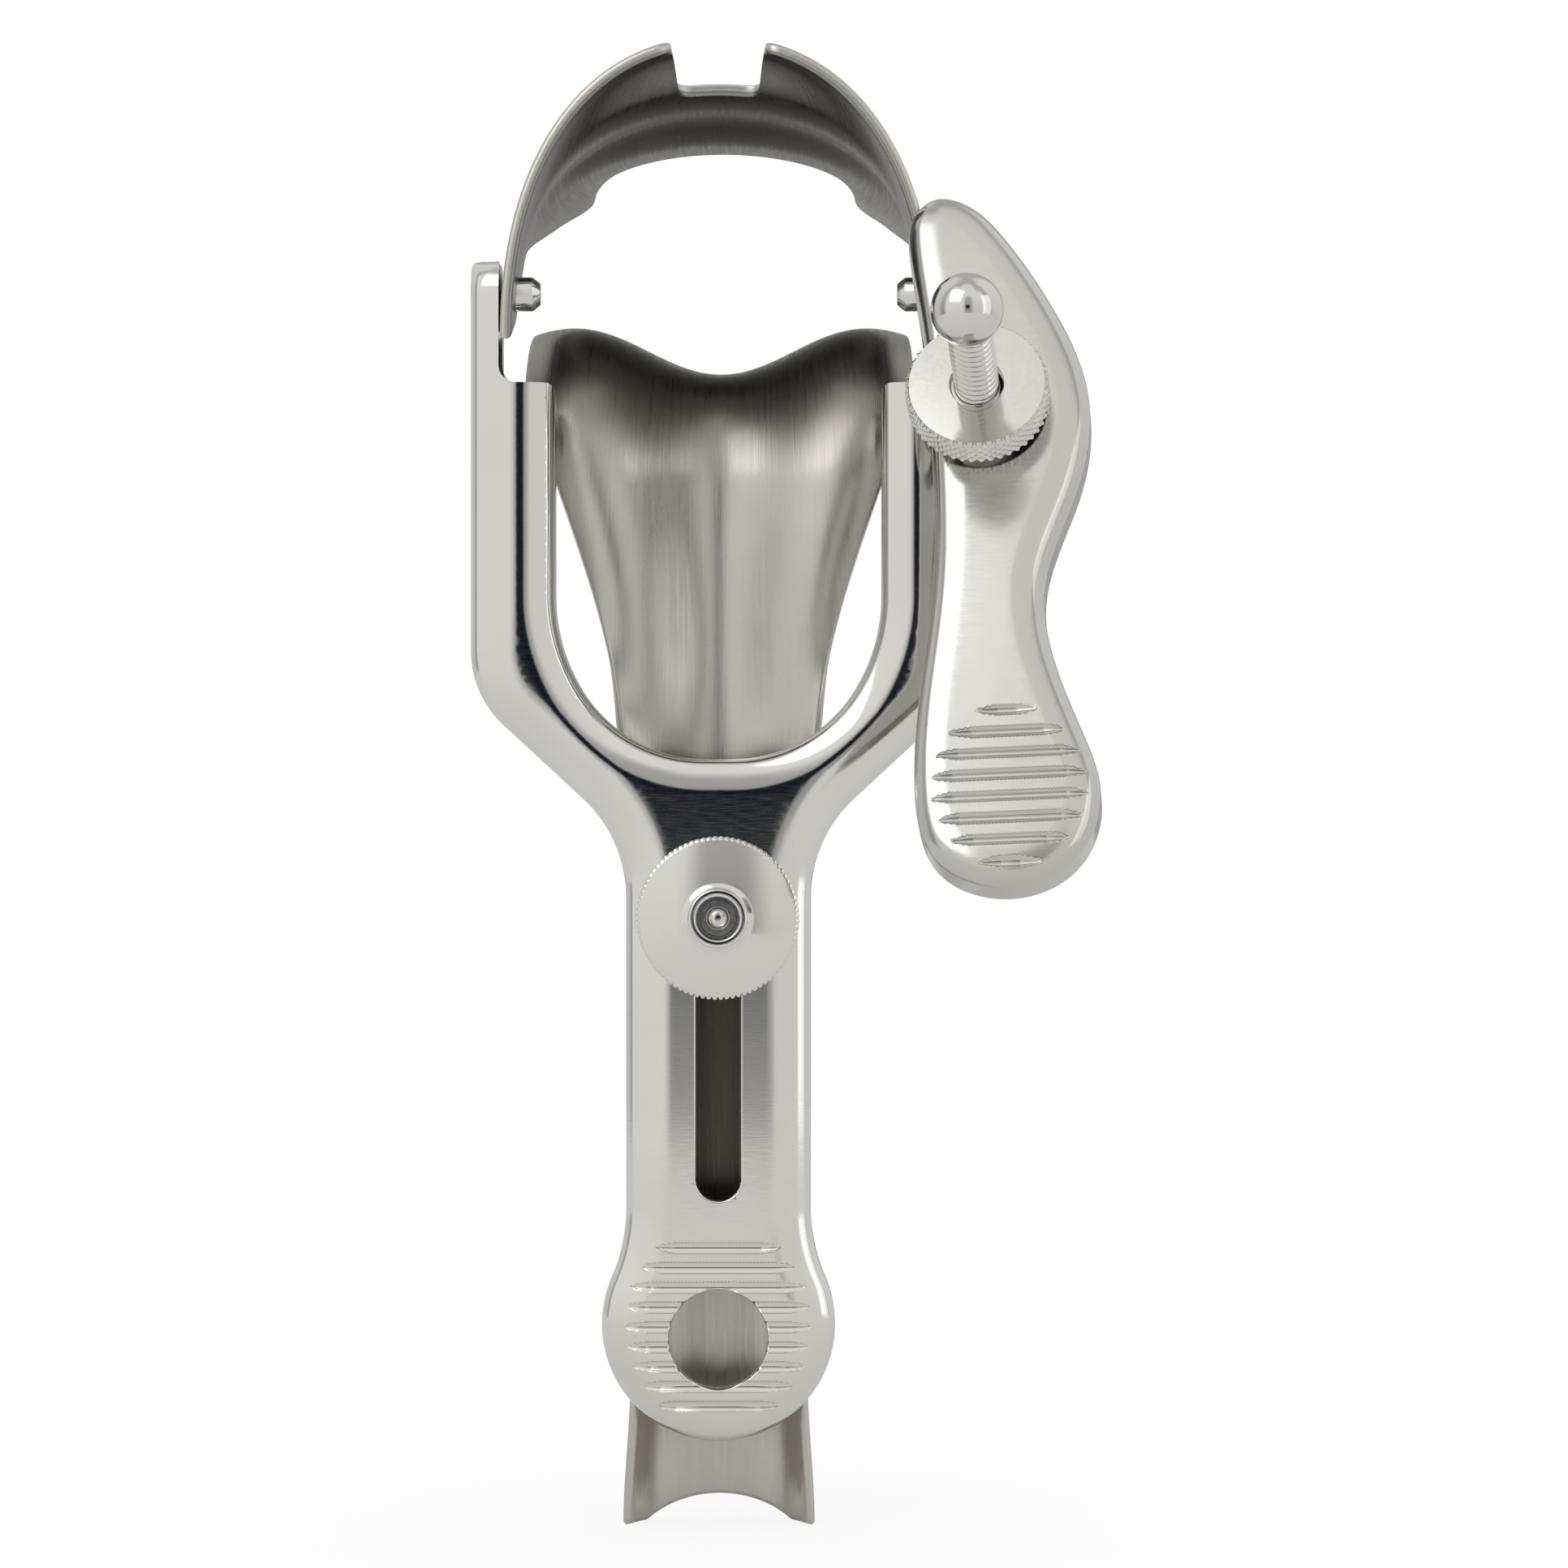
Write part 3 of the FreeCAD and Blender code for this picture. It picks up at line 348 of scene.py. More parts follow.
def nearest(points, line):
    """Distance from each point to a line of short segments, and the unit direction away from it."""
    start, along = line[:-1], np.diff(line, axis=0)
    length = (along ** 2).sum(1)
    best = np.full(len(points), np.inf)
    away = np.zeros_like(points)
    for part in np.array_split(np.arange(len(start)), max(1, len(start) // 64)):
        offset = points[:, None] - start[None, part]
        t = np.clip((offset * along[part]).sum(-1) / length[part], 0, 1)
        gap = offset - t[..., None] * along[part]
        distance = np.linalg.norm(gap, axis=-1)
        pick = distance.argmin(1)
        chosen = distance[np.arange(len(points)), pick]
        closer = chosen < best
        best[closer] = chosen[closer]
        away[closer] = gap[np.arange(len(points)), pick][closer]
    return best, away / np.maximum(best, 1e-9)[:, None]


def inside_loop(points, loop):
    """True for points inside a closed loop: a line to the right crosses it an odd number of times."""
    x, z = points[:, 0:1], points[:, 1:2]
    ax, az = loop[:, 0], loop[:, 1]
    bx, bz = np.roll(ax, -1), np.roll(az, -1)
    crosses = (az > z) != (bz > z)
    with np.errstate(divide="ignore", invalid="ignore"):
        at = ax + (z - az) * (bx - ax) / (bz - az)
    return (crosses & (x < at)).sum(1) % 2 == 1


def scattered(loop, holes, edges, pad):
    """Points inside a face: rows that follow its borders, an even grid, and rows along the ribs.

    edges are (line, border), and pad is (x, z, radius) of the round zone that has the ribs.
    """
    rows = []
    for edge, (width, _, edge_round) in edges:
        closed = np.allclose(edge[0], edge[-1])
        if closed:
            along = np.roll(edge[:-1], -1, 0) - np.roll(edge[:-1], 1, 0)
        else:
            along = np.gradient(edge, axis=0)
        along /= np.linalg.norm(along, axis=1)[:, None]
        edge = edge[:len(along)]
        across = np.stack([-along[:, 1], along[:, 0]], 1)
        turns = np.radians(np.linspace(12.0, 90.0, 8))
        insets = np.concatenate([edge_round * (1 - np.cos(turns)),
                                 np.arange(edge_round + 0.35, width, BORDER_STEP)])
        for inset in insets:
            rows += [edge + across * inset, edge - across * inset]
    low, high = loop.min(0), loop.max(0)
    x, z, radius = pad

    def lattice(pitch_x, pitch_z):
        xs, zs = np.meshgrid(np.arange(low[0], high[0], pitch_x), np.arange(low[1], high[1], pitch_z))
        xs = xs + (np.arange(zs.shape[0])[:, None] % 2) * pitch_x / 2
        return np.stack([xs.ravel(), zs.ravel()], 1)

    coarse, close = lattice(GRID_STEP, GRID_STEP), lattice(*RIB_STEPS)
    coarse = coarse[np.hypot(coarse[:, 0] - x, coarse[:, 1] - z) >= radius]
    close = close[np.hypot(close[:, 0] - x, close[:, 1] - z) < radius]
    points = np.vstack(rows + [coarse, close])
    points = points[inside_loop(points, loop)]
    for line in [loop] + holes:
        if line is not loop:
            points = points[~inside_loop(points, line)]
        gap, _ = nearest(points, closing(line))
        points = points[gap > EDGE_CLEARANCE]
    keys = np.round(points / MERGE_STEP).astype(np.int64)
    _, index = np.unique(keys, axis=0, return_index=True)
    return points[np.sort(index)]


def ribs(points, centre_x, centre_z, radius, margin, count, pitch):
    """Depth of shallow round grooves across a pad, which narrow to a point at both ends."""
    depth = np.zeros(len(points))
    for i in range(count):
        z = centre_z + (i - (count - 1) / 2) * pitch
        half = math.sqrt(max(radius ** 2 - (z - centre_z) ** 2, 0)) - margin
        half = max(half, 0.3 * radius)
        end = np.sqrt(np.clip((half - np.abs(points[:, 0] - centre_x)) / 2.2, 0, 1))
        across = np.abs(points[:, 1] - z) / (RIB_HALF_WIDTH * np.maximum(end, 0.05))
        depth += RIB_DEPTH * end * np.where(across < 1, 1 - across ** 2, 0)
    return depth


def border_shape(distance, border):
    """Height and slope of a border at a distance from its edge.

    A circle's arc falls by fall over width, and an edge of the radius edge_round is added to it.
    """
    width, fall, edge_round = border
    u = np.clip(1 - distance / edge_round, 0, 1 - 1e-5)
    height = edge_round * (1 - np.sqrt(1 - u * u))
    slope = -u / np.sqrt(1 - u * u)
    if width > 0:
        radius = (width ** 2 + fall ** 2) / (2 * fall)
        v = np.clip(width - distance, 0, width)
        root = np.sqrt(radius ** 2 - v * v)
        height = height + radius - root
        slope = slope - v / root
    return height, slope


def filled(loop, holes, inner):
    """Points and triangles that fill a loop round its holes.

    The loop's points come first, then the holes', then the inner ones.
    """
    flat = np.vstack([loop] + holes + [inner])
    links, start = [], 0
    for line in [loop] + holes:
        index = np.arange(len(line)) + start
        links.append(np.stack([index, np.roll(index, -1)], 1))
        start += len(line)
    result = delaunay_2d_cdt([Vector(p) for p in flat.tolist()],
                             np.vstack(links).tolist(), [], 1, 1e-5)
    flat = np.array([tuple(p) for p in result[0]])
    triangles = np.array(result[2])
    middle = flat[triangles].mean(1)
    keep = inside_loop(middle, loop)
    for hole in holes:
        keep &= ~inside_loop(middle, hole)
    triangles = triangles[keep]
    a, b, c = (flat[triangles[:, k]] for k in range(3))
    backward = (b[:, 0] - a[:, 0]) * (c[:, 1] - a[:, 1]) < (b[:, 1] - a[:, 1]) * (c[:, 0] - a[:, 0])
    triangles[backward] = triangles[backward][:, ::-1]
    return flat, triangles


def pressed_skin(loop, holes, edges, depth_at, wall, bends, grooves, pad):
    """Closed sheet pressed over a former, as points, normals and faces.

    Its front is at Y = 0 with borders that follow border_shape, plus the given bends, and the
    grooves are cut into it. Side walls run straight back from the outer edges to depth_at. The
    back follows one wall behind the front without its grooves.
    """
    flat, triangles = filled(loop, holes, scattered(loop, holes, edges, pad))
    height = np.zeros(len(flat))
    slope = np.zeros_like(flat)
    on_edge = np.zeros(len(flat), bool)
    for edge, border in edges:
        distance, away = nearest(flat, edge)
        added, steep = border_shape(distance, border)
        height += added
        slope += away * steep[:, None]
        on_edge |= distance < ON_EDGE
    tiny = 0.01

    def added_slope(shape):
        return np.stack([shape(flat + [tiny, 0]) - shape(flat - [tiny, 0]),
                         shape(flat + [0, tiny]) - shape(flat - [0, tiny])], 1) / (2 * tiny)

    def facing(slope):
        normal = np.stack([slope[:, 0], -np.ones(len(flat)), slope[:, 1]], 1)
        return normal / np.linalg.norm(normal, axis=1)[:, None]

    for bend in bends:
        height += bend(flat)
        slope += added_slope(bend)
    smooth_normal = facing(slope)
    cut = np.zeros(len(flat))
    for groove in grooves:
        cut += groove(flat)
        slope += added_slope(groove)
    normal = facing(slope)
    outward = loop_normals(loop)
    level_out = np.stack([outward[:, 0], np.zeros(len(loop)), outward[:, 1]], 1)
    wall_here = on_edge[:len(loop)]
    for directions in (normal, smooth_normal):
        directions[:len(loop)][wall_here] = level_out[wall_here]
    skin = np.stack([flat[:, 0], height + cut, flat[:, 1]], 1)

    # Side walls: each edge point goes straight back in even rows
    rows = 6
    share = np.linspace(0, 1, rows + 1)[1:, None]
    wall_y = height[None, :len(loop)] * (1 - share) + depth_at(loop)[None] * share
    wall_points = np.stack([np.broadcast_to(loop[:, 0], wall_y.shape), wall_y,
                            np.broadcast_to(loop[:, 1], wall_y.shape)], -1).reshape(-1, 3)
    here = np.flatnonzero(wall_here & np.roll(wall_here, -1))
    following = (here + 1) % len(loop)
    level = np.vstack([np.arange(len(loop))] + [len(skin) + len(loop) * k + np.arange(len(loop))
                                                for k in range(rows)])
    quads = np.concatenate([np.stack([level[k, here], level[k + 1, here],
                                      level[k + 1, following], level[k, following]], 1)
                            for k in range(rows)])
    points = np.vstack([skin, wall_points])
    wall_normals = np.tile(level_out, (rows, 1))
    normals = np.vstack([normal, wall_normals])
    smooth_normals = np.vstack([smooth_normal, wall_normals])
    uncut = points - np.outer(np.concatenate([cut, np.zeros(len(wall_points))]), [0, 1, 0])
    faces = np.vstack([triangles, quads[:, [0, 1, 2]], quads[:, [0, 2, 3]]])
    used, faces = np.unique(faces, return_inverse=True)
    faces = faces.reshape(-1, 3)
    # A hole's edge goes straight back, every other point along its normal
    straight = np.zeros(len(points), bool)
    straight[len(loop):len(loop) + sum(len(hole) for hole in holes)] = True
    points, normals, straight = points[used], normals[used], straight[used]
    uncut, smooth_normals = uncut[used], smooth_normals[used]
    cross = np.cross(points[faces[:, 1]] - points[faces[:, 0]], points[faces[:, 2]] - points[faces[:, 0]])
    wrong = (cross * normals[faces].sum(1)).sum(1) < 0
    wrong[:len(triangles)] = False
    faces[wrong] = faces[wrong][:, ::-1]
    outwards = np.where(straight[:, None], np.array([0.0, -1.0, 0.0]), smooth_normals)
    return backed(points, normals, faces, uncut - outwards * wall, -smooth_normals)


def backed(points, normals, faces, behind, back_normals):
    """Front faces, the same faces on the points behind them, and the rim that joins the two.

    The rim has points and normals of its own, so that both of its edges stay sharp.
    """
    count = len(points)
    sides = np.vstack([faces[:, [0, 1]], faces[:, [1, 2]], faces[:, [2, 0]]])
    _, first, times = np.unique(np.sort(sides, axis=1), axis=0, return_index=True, return_counts=True)
    rim = sides[first[times == 1]]
    rim_quads = np.stack([rim[:, 1], rim[:, 0], rim[:, 0] + count, rim[:, 1] + count], 1)
    rim_points, rim_faces = np.unique(rim_quads, return_inverse=True)
    rim_faces = rim_faces.reshape(-1, 4)
    both = np.vstack([points, behind])
    corner = both[rim_points][rim_faces]
    turned = np.cross(corner[:, 1] - corner[:, 0], corner[:, 3] - corner[:, 0])
    rim_normals = np.zeros((len(rim_points), 3))
    for k in range(4):
        np.add.at(rim_normals, rim_faces[:, k], turned)
    rim_normals /= np.maximum(np.linalg.norm(rim_normals, axis=1)[:, None], 1e-9)
    rim_faces = rim_faces + 2 * count
    return (np.vstack([both, both[rim_points]]), np.vstack([normals, back_normals, rim_normals]),
            np.vstack([faces, faces[:, ::-1] + count, rim_faces[:, [0, 1, 2]], rim_faces[:, [0, 2, 3]]]))


def loop_normals(loop):
    """Outward unit direction at each point of a closed loop."""
    along = np.roll(loop, -1, 0) - np.roll(loop, 1, 0)
    along /= np.linalg.norm(along, axis=1)[:, None]
    following = np.roll(loop, -1, 0)
    area = (loop[:, 0] * following[:, 1] - following[:, 0] * loop[:, 1]).sum()
    return np.stack([along[:, 1], -along[:, 0]], 1) * np.sign(area)


def circle(x, z, radius, step=HOLE_STEP):
    turn = np.linspace(0, 2 * np.pi, int(2 * np.pi * radius / step) + 1)[:-1]
    return np.stack([x + radius * np.cos(turn), z + radius * np.sin(turn)], 1)


def slot_loop(x, half_width, low, high):
    """Slot with round ends about (x, low) and (x, high)."""
    radius = half_width * 0.999
    corners = [(x - half_width, low - half_width, radius), (x + half_width, low - half_width, radius),
               (x + half_width, high + half_width, radius), (x - half_width, high + half_width, radius)]
    return rounded_line(corners, step=HOLE_STEP)


def mirrored(half):
    return half + [(-x, z, radius) for x, z, radius in reversed(half)]


def foot_corners():
    """Corners of the round foot's right half, whose roundings all lie on the foot's circle."""
    across = (HANDLE_HALF_WIDTH + FOOT_NECK_RADIUS) / (FOOT_RADIUS + FOOT_NECK_RADIUS)
    top = math.acos(across)
    neck_z = FOOT_CENTRE_Z + (FOOT_RADIUS - HANDLE_HALF_WIDTH * across) / math.sin(top)
    corners = [(HANDLE_HALF_WIDTH, neck_z, FOOT_NECK_RADIUS)]
    turns = 3
    step = (top + math.pi / 2) / turns
    reach = FOOT_RADIUS / math.cos(step / 2)
    for i in range(turns):
        angle = top - step * (i + 0.5)
        corners.append((reach * math.cos(angle), FOOT_CENTRE_Z + reach * math.sin(angle), FOOT_RADIUS))
    return corners


def make_yoke():
    """Pressed yoke with its ears: one sheet with crowned borders, a slot, a hole and ribs."""
    outer_half = [(ARM_OUTER, EAR_TOP, 0.9), (ARM_OUTER, SHOULDER_Z, 11.5),
                  (HANDLE_HALF_WIDTH, HANDLE_TOP + 4.5, 15.0)] + foot_corners()
    inner_half = [(0.58 * ARM_INNER, OPENING_BOTTOM, 16.0), (ARM_INNER, OPENING_BOTTOM + 12.6, 20.0),
                  (ARM_INNER, ARM_TOP, 1.0)]
    ear_inner = ARM_OUTER - EAR_THICKNESS
    top_half = [(ear_inner, ARM_TOP, 1.9), (ear_inner, EAR_TOP, 0.3)]
    loop = rounded_line(mirrored(inner_half + top_half + outer_half))
    beyond = [(ARM_OUTER, EAR_TOP + 12.0, 0.0)] + outer_half[1:]
    outer_edge = rounded_line(mirrored(beyond), closed=False)
    above = inner_half[:2] + [(ARM_INNER, ARM_TOP + 12.0, 0.0)]
    inner_edge = rounded_line(mirrored(above[::-1]), closed=False)
    hole = circle(0, 0, HOLE_RADIUS)
    slot = slot_loop(0, SLOT_HALF_WIDTH, STUD[2] - SLOT_TRAVEL, STUD[2])

    def depth_at(line):
        z = line[:, 1]
        back = YOKE_DEPTH + (EAR_BACK - YOKE_DEPTH) * np.clip((z - ARM_TOP + 10.0) / 10.0, 0, 1)
        rise = np.clip(z - EAR_TOP + EAR_ROUND, 0, EAR_ROUND)
        back = back - EAR_ROUND + np.sqrt(EAR_ROUND ** 2 - rise ** 2)
        return np.where(np.abs(line[:, 0]) < ARM_INNER + 2, YOKE_DEPTH, back)

    def foot_ribs(points):
        return ribs(points, 0, FOOT_CENTRE_Z, FOOT_RADIUS, 2.6, FOOT_RIBS, RIB_PITCH)

    def ear_corner(points):
        rise = np.clip(points[:, 1] - EAR_TOP + EAR_ROUND, 0, EAR_ROUND - 0.02)
        return EAR_ROUND - np.sqrt(EAR_ROUND ** 2 - rise ** 2)

    edges = [(outer_edge, YOKE_OUTER_BORDER), (inner_edge, YOKE_INNER_BORDER),
             (closing(hole), HOLE_BORDER), (closing(slot), HOLE_BORDER)]
    points, normals, faces = pressed_skin(loop, [hole, slot], edges, depth_at, SHEET,
                                          [ear_corner], [foot_ribs], (0, FOOT_CENTRE_Z, FOOT_RADIUS))
    return put_mesh("yoke_body_sheet", points, faces, normals)


def lever_loop():
    x, z = LEVER_ROOT[0], LEVER_ROOT[2]
    waist_z = PAD_Z + 2.45 * PAD_RADIUS
    return smooth_spline([
        (x - 0.8, z - 6.0), (x - 0.4, z - 2.4), (x + 2.2, z), (x + 5.6, z - 0.8),
        (x + 0.52 * LEVER_WIDTH, z - 5.0), (x + 0.78 * LEVER_WIDTH, z - 13.4),
        (x + LEVER_WIDTH, z - 25.8), (x + 0.93 * LEVER_WIDTH, z - 36.3), (WAIST_X + 0.5 * WAIST, waist_z),
        (PAD_X + 0.84 * PAD_RADIUS, PAD_Z + 0.66 * PAD_RADIUS), (PAD_X + PAD_RADIUS, PAD_Z),
        (PAD_X + 0.74 * PAD_RADIUS, PAD_Z - 0.76 * PAD_RADIUS), (PAD_X, PAD_Z - 1.08 * PAD_RADIUS),
        (PAD_X - 0.74 * PAD_RADIUS, PAD_Z - 0.76 * PAD_RADIUS),
        (PAD_X - 0.97 * PAD_RADIUS, PAD_Z + 0.1 * PAD_RADIUS), (WAIST_X - 0.5 * WAIST, waist_z),
        (x + 1.4, z - 32.8), (x + 0.3, z - 15.8)])


def smooth_spline(points, step=SKIN_STEP):
    """Evenly spaced points on a smooth closed curve through the points.

    Between points it is a cubic in chord length, and its second slopes solve the closed system of
    a spline.
    """
    points = np.array(points, float)
    count = len(points)
    h = np.linalg.norm(np.roll(points, -1, 0) - points, axis=1)
    before = np.roll(h, 1)
    system = np.zeros((count, count))
    index = np.arange(count)
    system[index, index] = 2 * (before + h)
    system[index, (index - 1) % count] = before
    system[index, (index + 1) % count] = h
    rise = (np.roll(points, -1, 0) - points) / h[:, None]
    bend = np.linalg.solve(system, 6 * (rise - np.roll(rise, 1, 0)))
    following, next_bend = np.roll(points, -1, 0), np.roll(bend, -1, 0)
    t = np.linspace(0, 1, 60, endpoint=False)[None, :, None]
    span = h[:, None, None]
    line = ((1 - t) * points[:, None] + t * following[:, None]
            + span ** 2 / 6 * (((1 - t) ** 3 - (1 - t)) * bend[:, None] + (t ** 3 - t) * next_bend[:, None]))
    return evenly_spaced(closing(line.reshape(-1, 2)), step, closed=True)


def turn_matrix(axis, angle):
    """Matrix that turns points about the x (0) or z (2) direction by the right-hand rule."""
    i, j = [(1, 2), (2, 0), (0, 1)][axis]
    matrix = np.eye(3)
    matrix[i, i] = matrix[j, j] = math.cos(angle)
    matrix[i, j], matrix[j, i] = -math.sin(angle), math.sin(angle)
    return matrix


LEVER_TURN = turn_matrix(0, -LEVER_TILT) @ turn_matrix(2, -LEVER_YAW)


def on_lever(points):
    """Points drawn with the lever's face in the XZ plane, turned onto the lever about its root."""
    flat_root = np.array([LEVER_ROOT[0], 0, LEVER_ROOT[2]])
    return (points - flat_root) @ LEVER_TURN.T + LEVER_ROOT


def screw_reach():
    """Distance from the cross pin to the lever's front face, along the screw."""
    return (LEVER_ROOT - SCREW_PIVOT) @ SCREW_AXIS


def make_lever():
    """Pressed thumb lever with a crowned border, a slot for the screw and a ribbed pad."""
    loop = lever_loop()
    foot = SCREW_PIVOT + SCREW_AXIS * screw_reach()
    flat_foot = (foot - LEVER_ROOT) @ LEVER_TURN + np.array([LEVER_ROOT[0], 0, LEVER_ROOT[2]])
    slot = slot_loop(flat_foot[0], LEVER_SLOT_HALF_WIDTH,
                     flat_foot[2] - LEVER_SLOT_BELOW, flat_foot[2] + LEVER_SLOT_ABOVE)
    edges = [(closing(loop), LEVER_BORDER), (closing(slot), HOLE_BORDER)]

    def pad_ribs(points):
        return ribs(points, PAD_X + 0.4, PAD_Z, PAD_RADIUS, 1.6, PAD_RIBS, PAD_RIB_PITCH)

    points, normals, faces = pressed_skin(loop, [slot], edges, lambda line: np.full(len(line), LEVER_DEPTH),
                                          SHEET, [], [pad_ribs], (PAD_X, PAD_Z, PAD_RADIUS))
    return put_mesh("thumb_lever_sheet", on_lever(points), faces, normals @ LEVER_TURN.T)


def sheet_piece(name, surface, length, rows, columns, wall, turn=None):
    """Closed sheet with round rims from surface(along, across), which gives both of its faces.

    Its two faces are the middle surface plus and minus half a wall times t, and t falls to 0 at
    every rim as (1 - (1 - e / r)^3)^(1/3) at a distance e under r, half the wall, from that rim.
    """
    r = wall / 2
    bends = np.arange(0, 6) / 6 * np.pi / 2
    edge = r * (1 - np.cos(bends))
    along = np.concatenate([edge, np.linspace(r, length - r, rows), length - edge[::-1]])
    probe = np.linspace(-1, 1, 121)
    inner, outer = surface(along[:, None], np.broadcast_to(probe, (len(along), 121)))
    middle = (inner + outer) / 2
    width = np.linalg.norm(np.diff(middle, axis=1) * [1, 0, 1], axis=2)
    run = np.concatenate([np.zeros((len(along), 1)), np.cumsum(width, 1)], 1)
    total = run[:, -1:]
    wanted = np.concatenate([np.broadcast_to(edge, (len(along), 6)),
                             r + (total - 2 * r) * np.linspace(0, 1, columns),
                             total - edge[::-1]], 1)
    across = np.stack([np.interp(wanted[i], run[i], probe) for i in range(len(along))])
    inner, outer = surface(along[:, None], across)
    middle, half = (inner + outer) / 2, (outer - inner) / 2

    def fade(gap):
        return np.cbrt(1 - (1 - np.clip(gap / r, 0, 1)) ** 3)

    t = fade(np.minimum(along, length - along))[:, None] * fade(np.minimum(wanted, total - wanted))
    faces_of = [middle + half * t[..., None], middle - half * t[..., None]]
    grid = grid_faces(len(along), across.shape[1])
    points = np.vstack([side.reshape(-1, 3) for side in faces_of])
    faces = np.vstack([grid, grid[:, ::-1] + len(points) // 2])
    lengthways = np.broadcast_to(along[:, None], across.shape)
    place = np.stack([wanted - total / 2, lengthways, 0 * across], -1).reshape(-1, 3)
    grain = np.vstack([place, place + [0, 0, INSIDE_MARK]])
    if turn is not None:
        points = turn(points)
    return closed_mesh(name, points, faces, grain=grain)


def lower_surface(along, across):
    """Both faces of the strap, saddle and lower blade at a distance along and -1 to 1 across."""
    handle_end = HANDLE_TOP - STRAP_BOTTOM
    spread = BEND_START - handle_end
    u = across
    place = tip_place(along, u, LOWER_LENGTH, LOWER_BLADE_HALF_WIDTH)
    x = np.clip(u * STRAP_END_HALF_WIDTH, -STRAP_END_RADIUS, STRAP_END_RADIUS)
    hollow = STRAP_END_HOLLOW - STRAP_END_RADIUS + np.sqrt(STRAP_END_RADIUS ** 2 - x ** 2)
    hollow = np.maximum(hollow, 0)
    place = np.where(place < END_REACH, hollow + place * (END_REACH - hollow) / END_REACH, place)
    half_width = through((
        (0, STRAP_END_HALF_WIDTH), (0.23 * handle_end, STRAP_HALF_WIDTH), (handle_end, STRAP_HALF_WIDTH),
        (handle_end + 0.43 * spread, STRAP_HALF_WIDTH + 0.17 * (SADDLE_HALF_WIDTH - STRAP_HALF_WIDTH)),
        (BEND_START, STRAP_HALF_WIDTH + 0.72 * (SADDLE_HALF_WIDTH - STRAP_HALF_WIDTH)),
        (BEND_START + 0.6 * SADDLE_RADIUS, SADDLE_HALF_WIDTH),
        (BEND_END + 0.2 * SADDLE_RADIUS, SADDLE_HALF_WIDTH - 0.6),
        (BEND_END + 0.4 * LOWER_BLADE_LENGTH, LOWER_BLADE_HALF_WIDTH),
        (LOWER_LENGTH, LOWER_BLADE_HALF_WIDTH)), place)
    lip = through((
        (0, STRAP_LIP), (handle_end, STRAP_LIP), (BEND_START, SADDLE_LIP),
        (BEND_END, SADDLE_LIP + 0.4), (BEND_END + 0.33 * LOWER_BLADE_LENGTH, LOWER_BLADE_DEPTH)), place)
    roll = through(((handle_end, 0), (BEND_START - 4, 1), (BEND_START + 12, 1), (BEND_END + 30, 0)), place)
    power = through(((handle_end, 5.0), (BEND_START, 2.4)), place)
    turn = np.clip((place - BEND_START) / SADDLE_RADIUS, 0, math.pi / 2)
    up = np.stack([0 * turn, -np.cos(turn), np.sin(turn)], -1)
    centre = np.array([0, STRAP_WEB_Y + SADDLE_RADIUS, SADDLE_TOP - SADDLE_RADIUS]) + up * SADDLE_RADIUS
    centre = centre + np.stack([0 * place, np.maximum(place - BEND_END, 0),
                                np.minimum(place - BEND_START, 0)], -1)
    angle = LIP_ROLL * np.abs(u)
    height = (1 - roll) * np.abs(u) ** power + roll * np.sin(angle) ** 2
    slope = (1 - roll) * power * np.abs(u) ** (power - 1) + roll * LIP_ROLL * np.sin(2 * angle)
    slope = np.sign(u) * slope * lip / half_width
    length = np.hypot(1, slope)
    side = np.array([1.0, 0, 0])
    inner = centre + side * (half_width * u)[..., None] + up * (height * lip)[..., None]
    outer = inner + (side * (BLADE_SHEET * slope / length)[..., None]
                     - up * (BLADE_SHEET / length)[..., None])
    return inner, outer


def tip_place(along, u, end, half_width):
    """Distance along a blade whose last 30 mm are drawn in to an elliptical tip."""
    reach, wide = 1.15 * half_width, half_width + 1.5
    taper = 30.0
    tip = end - reach * (1 - np.sqrt(1 - (u * half_width / wide) ** 2))
    first = end - taper
    return np.where(along > first, first + (along - first) * (tip - first) / taper, along + 0 * u)


def notch_depth(x):
    """How far the collar's rim falls back at a distance x from the middle.

    The notch has steep sides, and a quarter circle at its foot and at its lip.
    """
    beyond = np.abs(x) - NOTCH_HALF_WIDTH
    reach = np.clip(np.abs(beyond) - NOTCH_SIDE, 0, NOTCH_ROUND)
    corner = NOTCH_ROUND - np.sqrt(NOTCH_ROUND ** 2 - (NOTCH_ROUND - reach) ** 2)
    share = np.clip((NOTCH_SIDE - beyond) / (2 * NOTCH_SIDE), 0, 1)
    return corner + share * (NOTCH_DEPTH - 2 * corner)


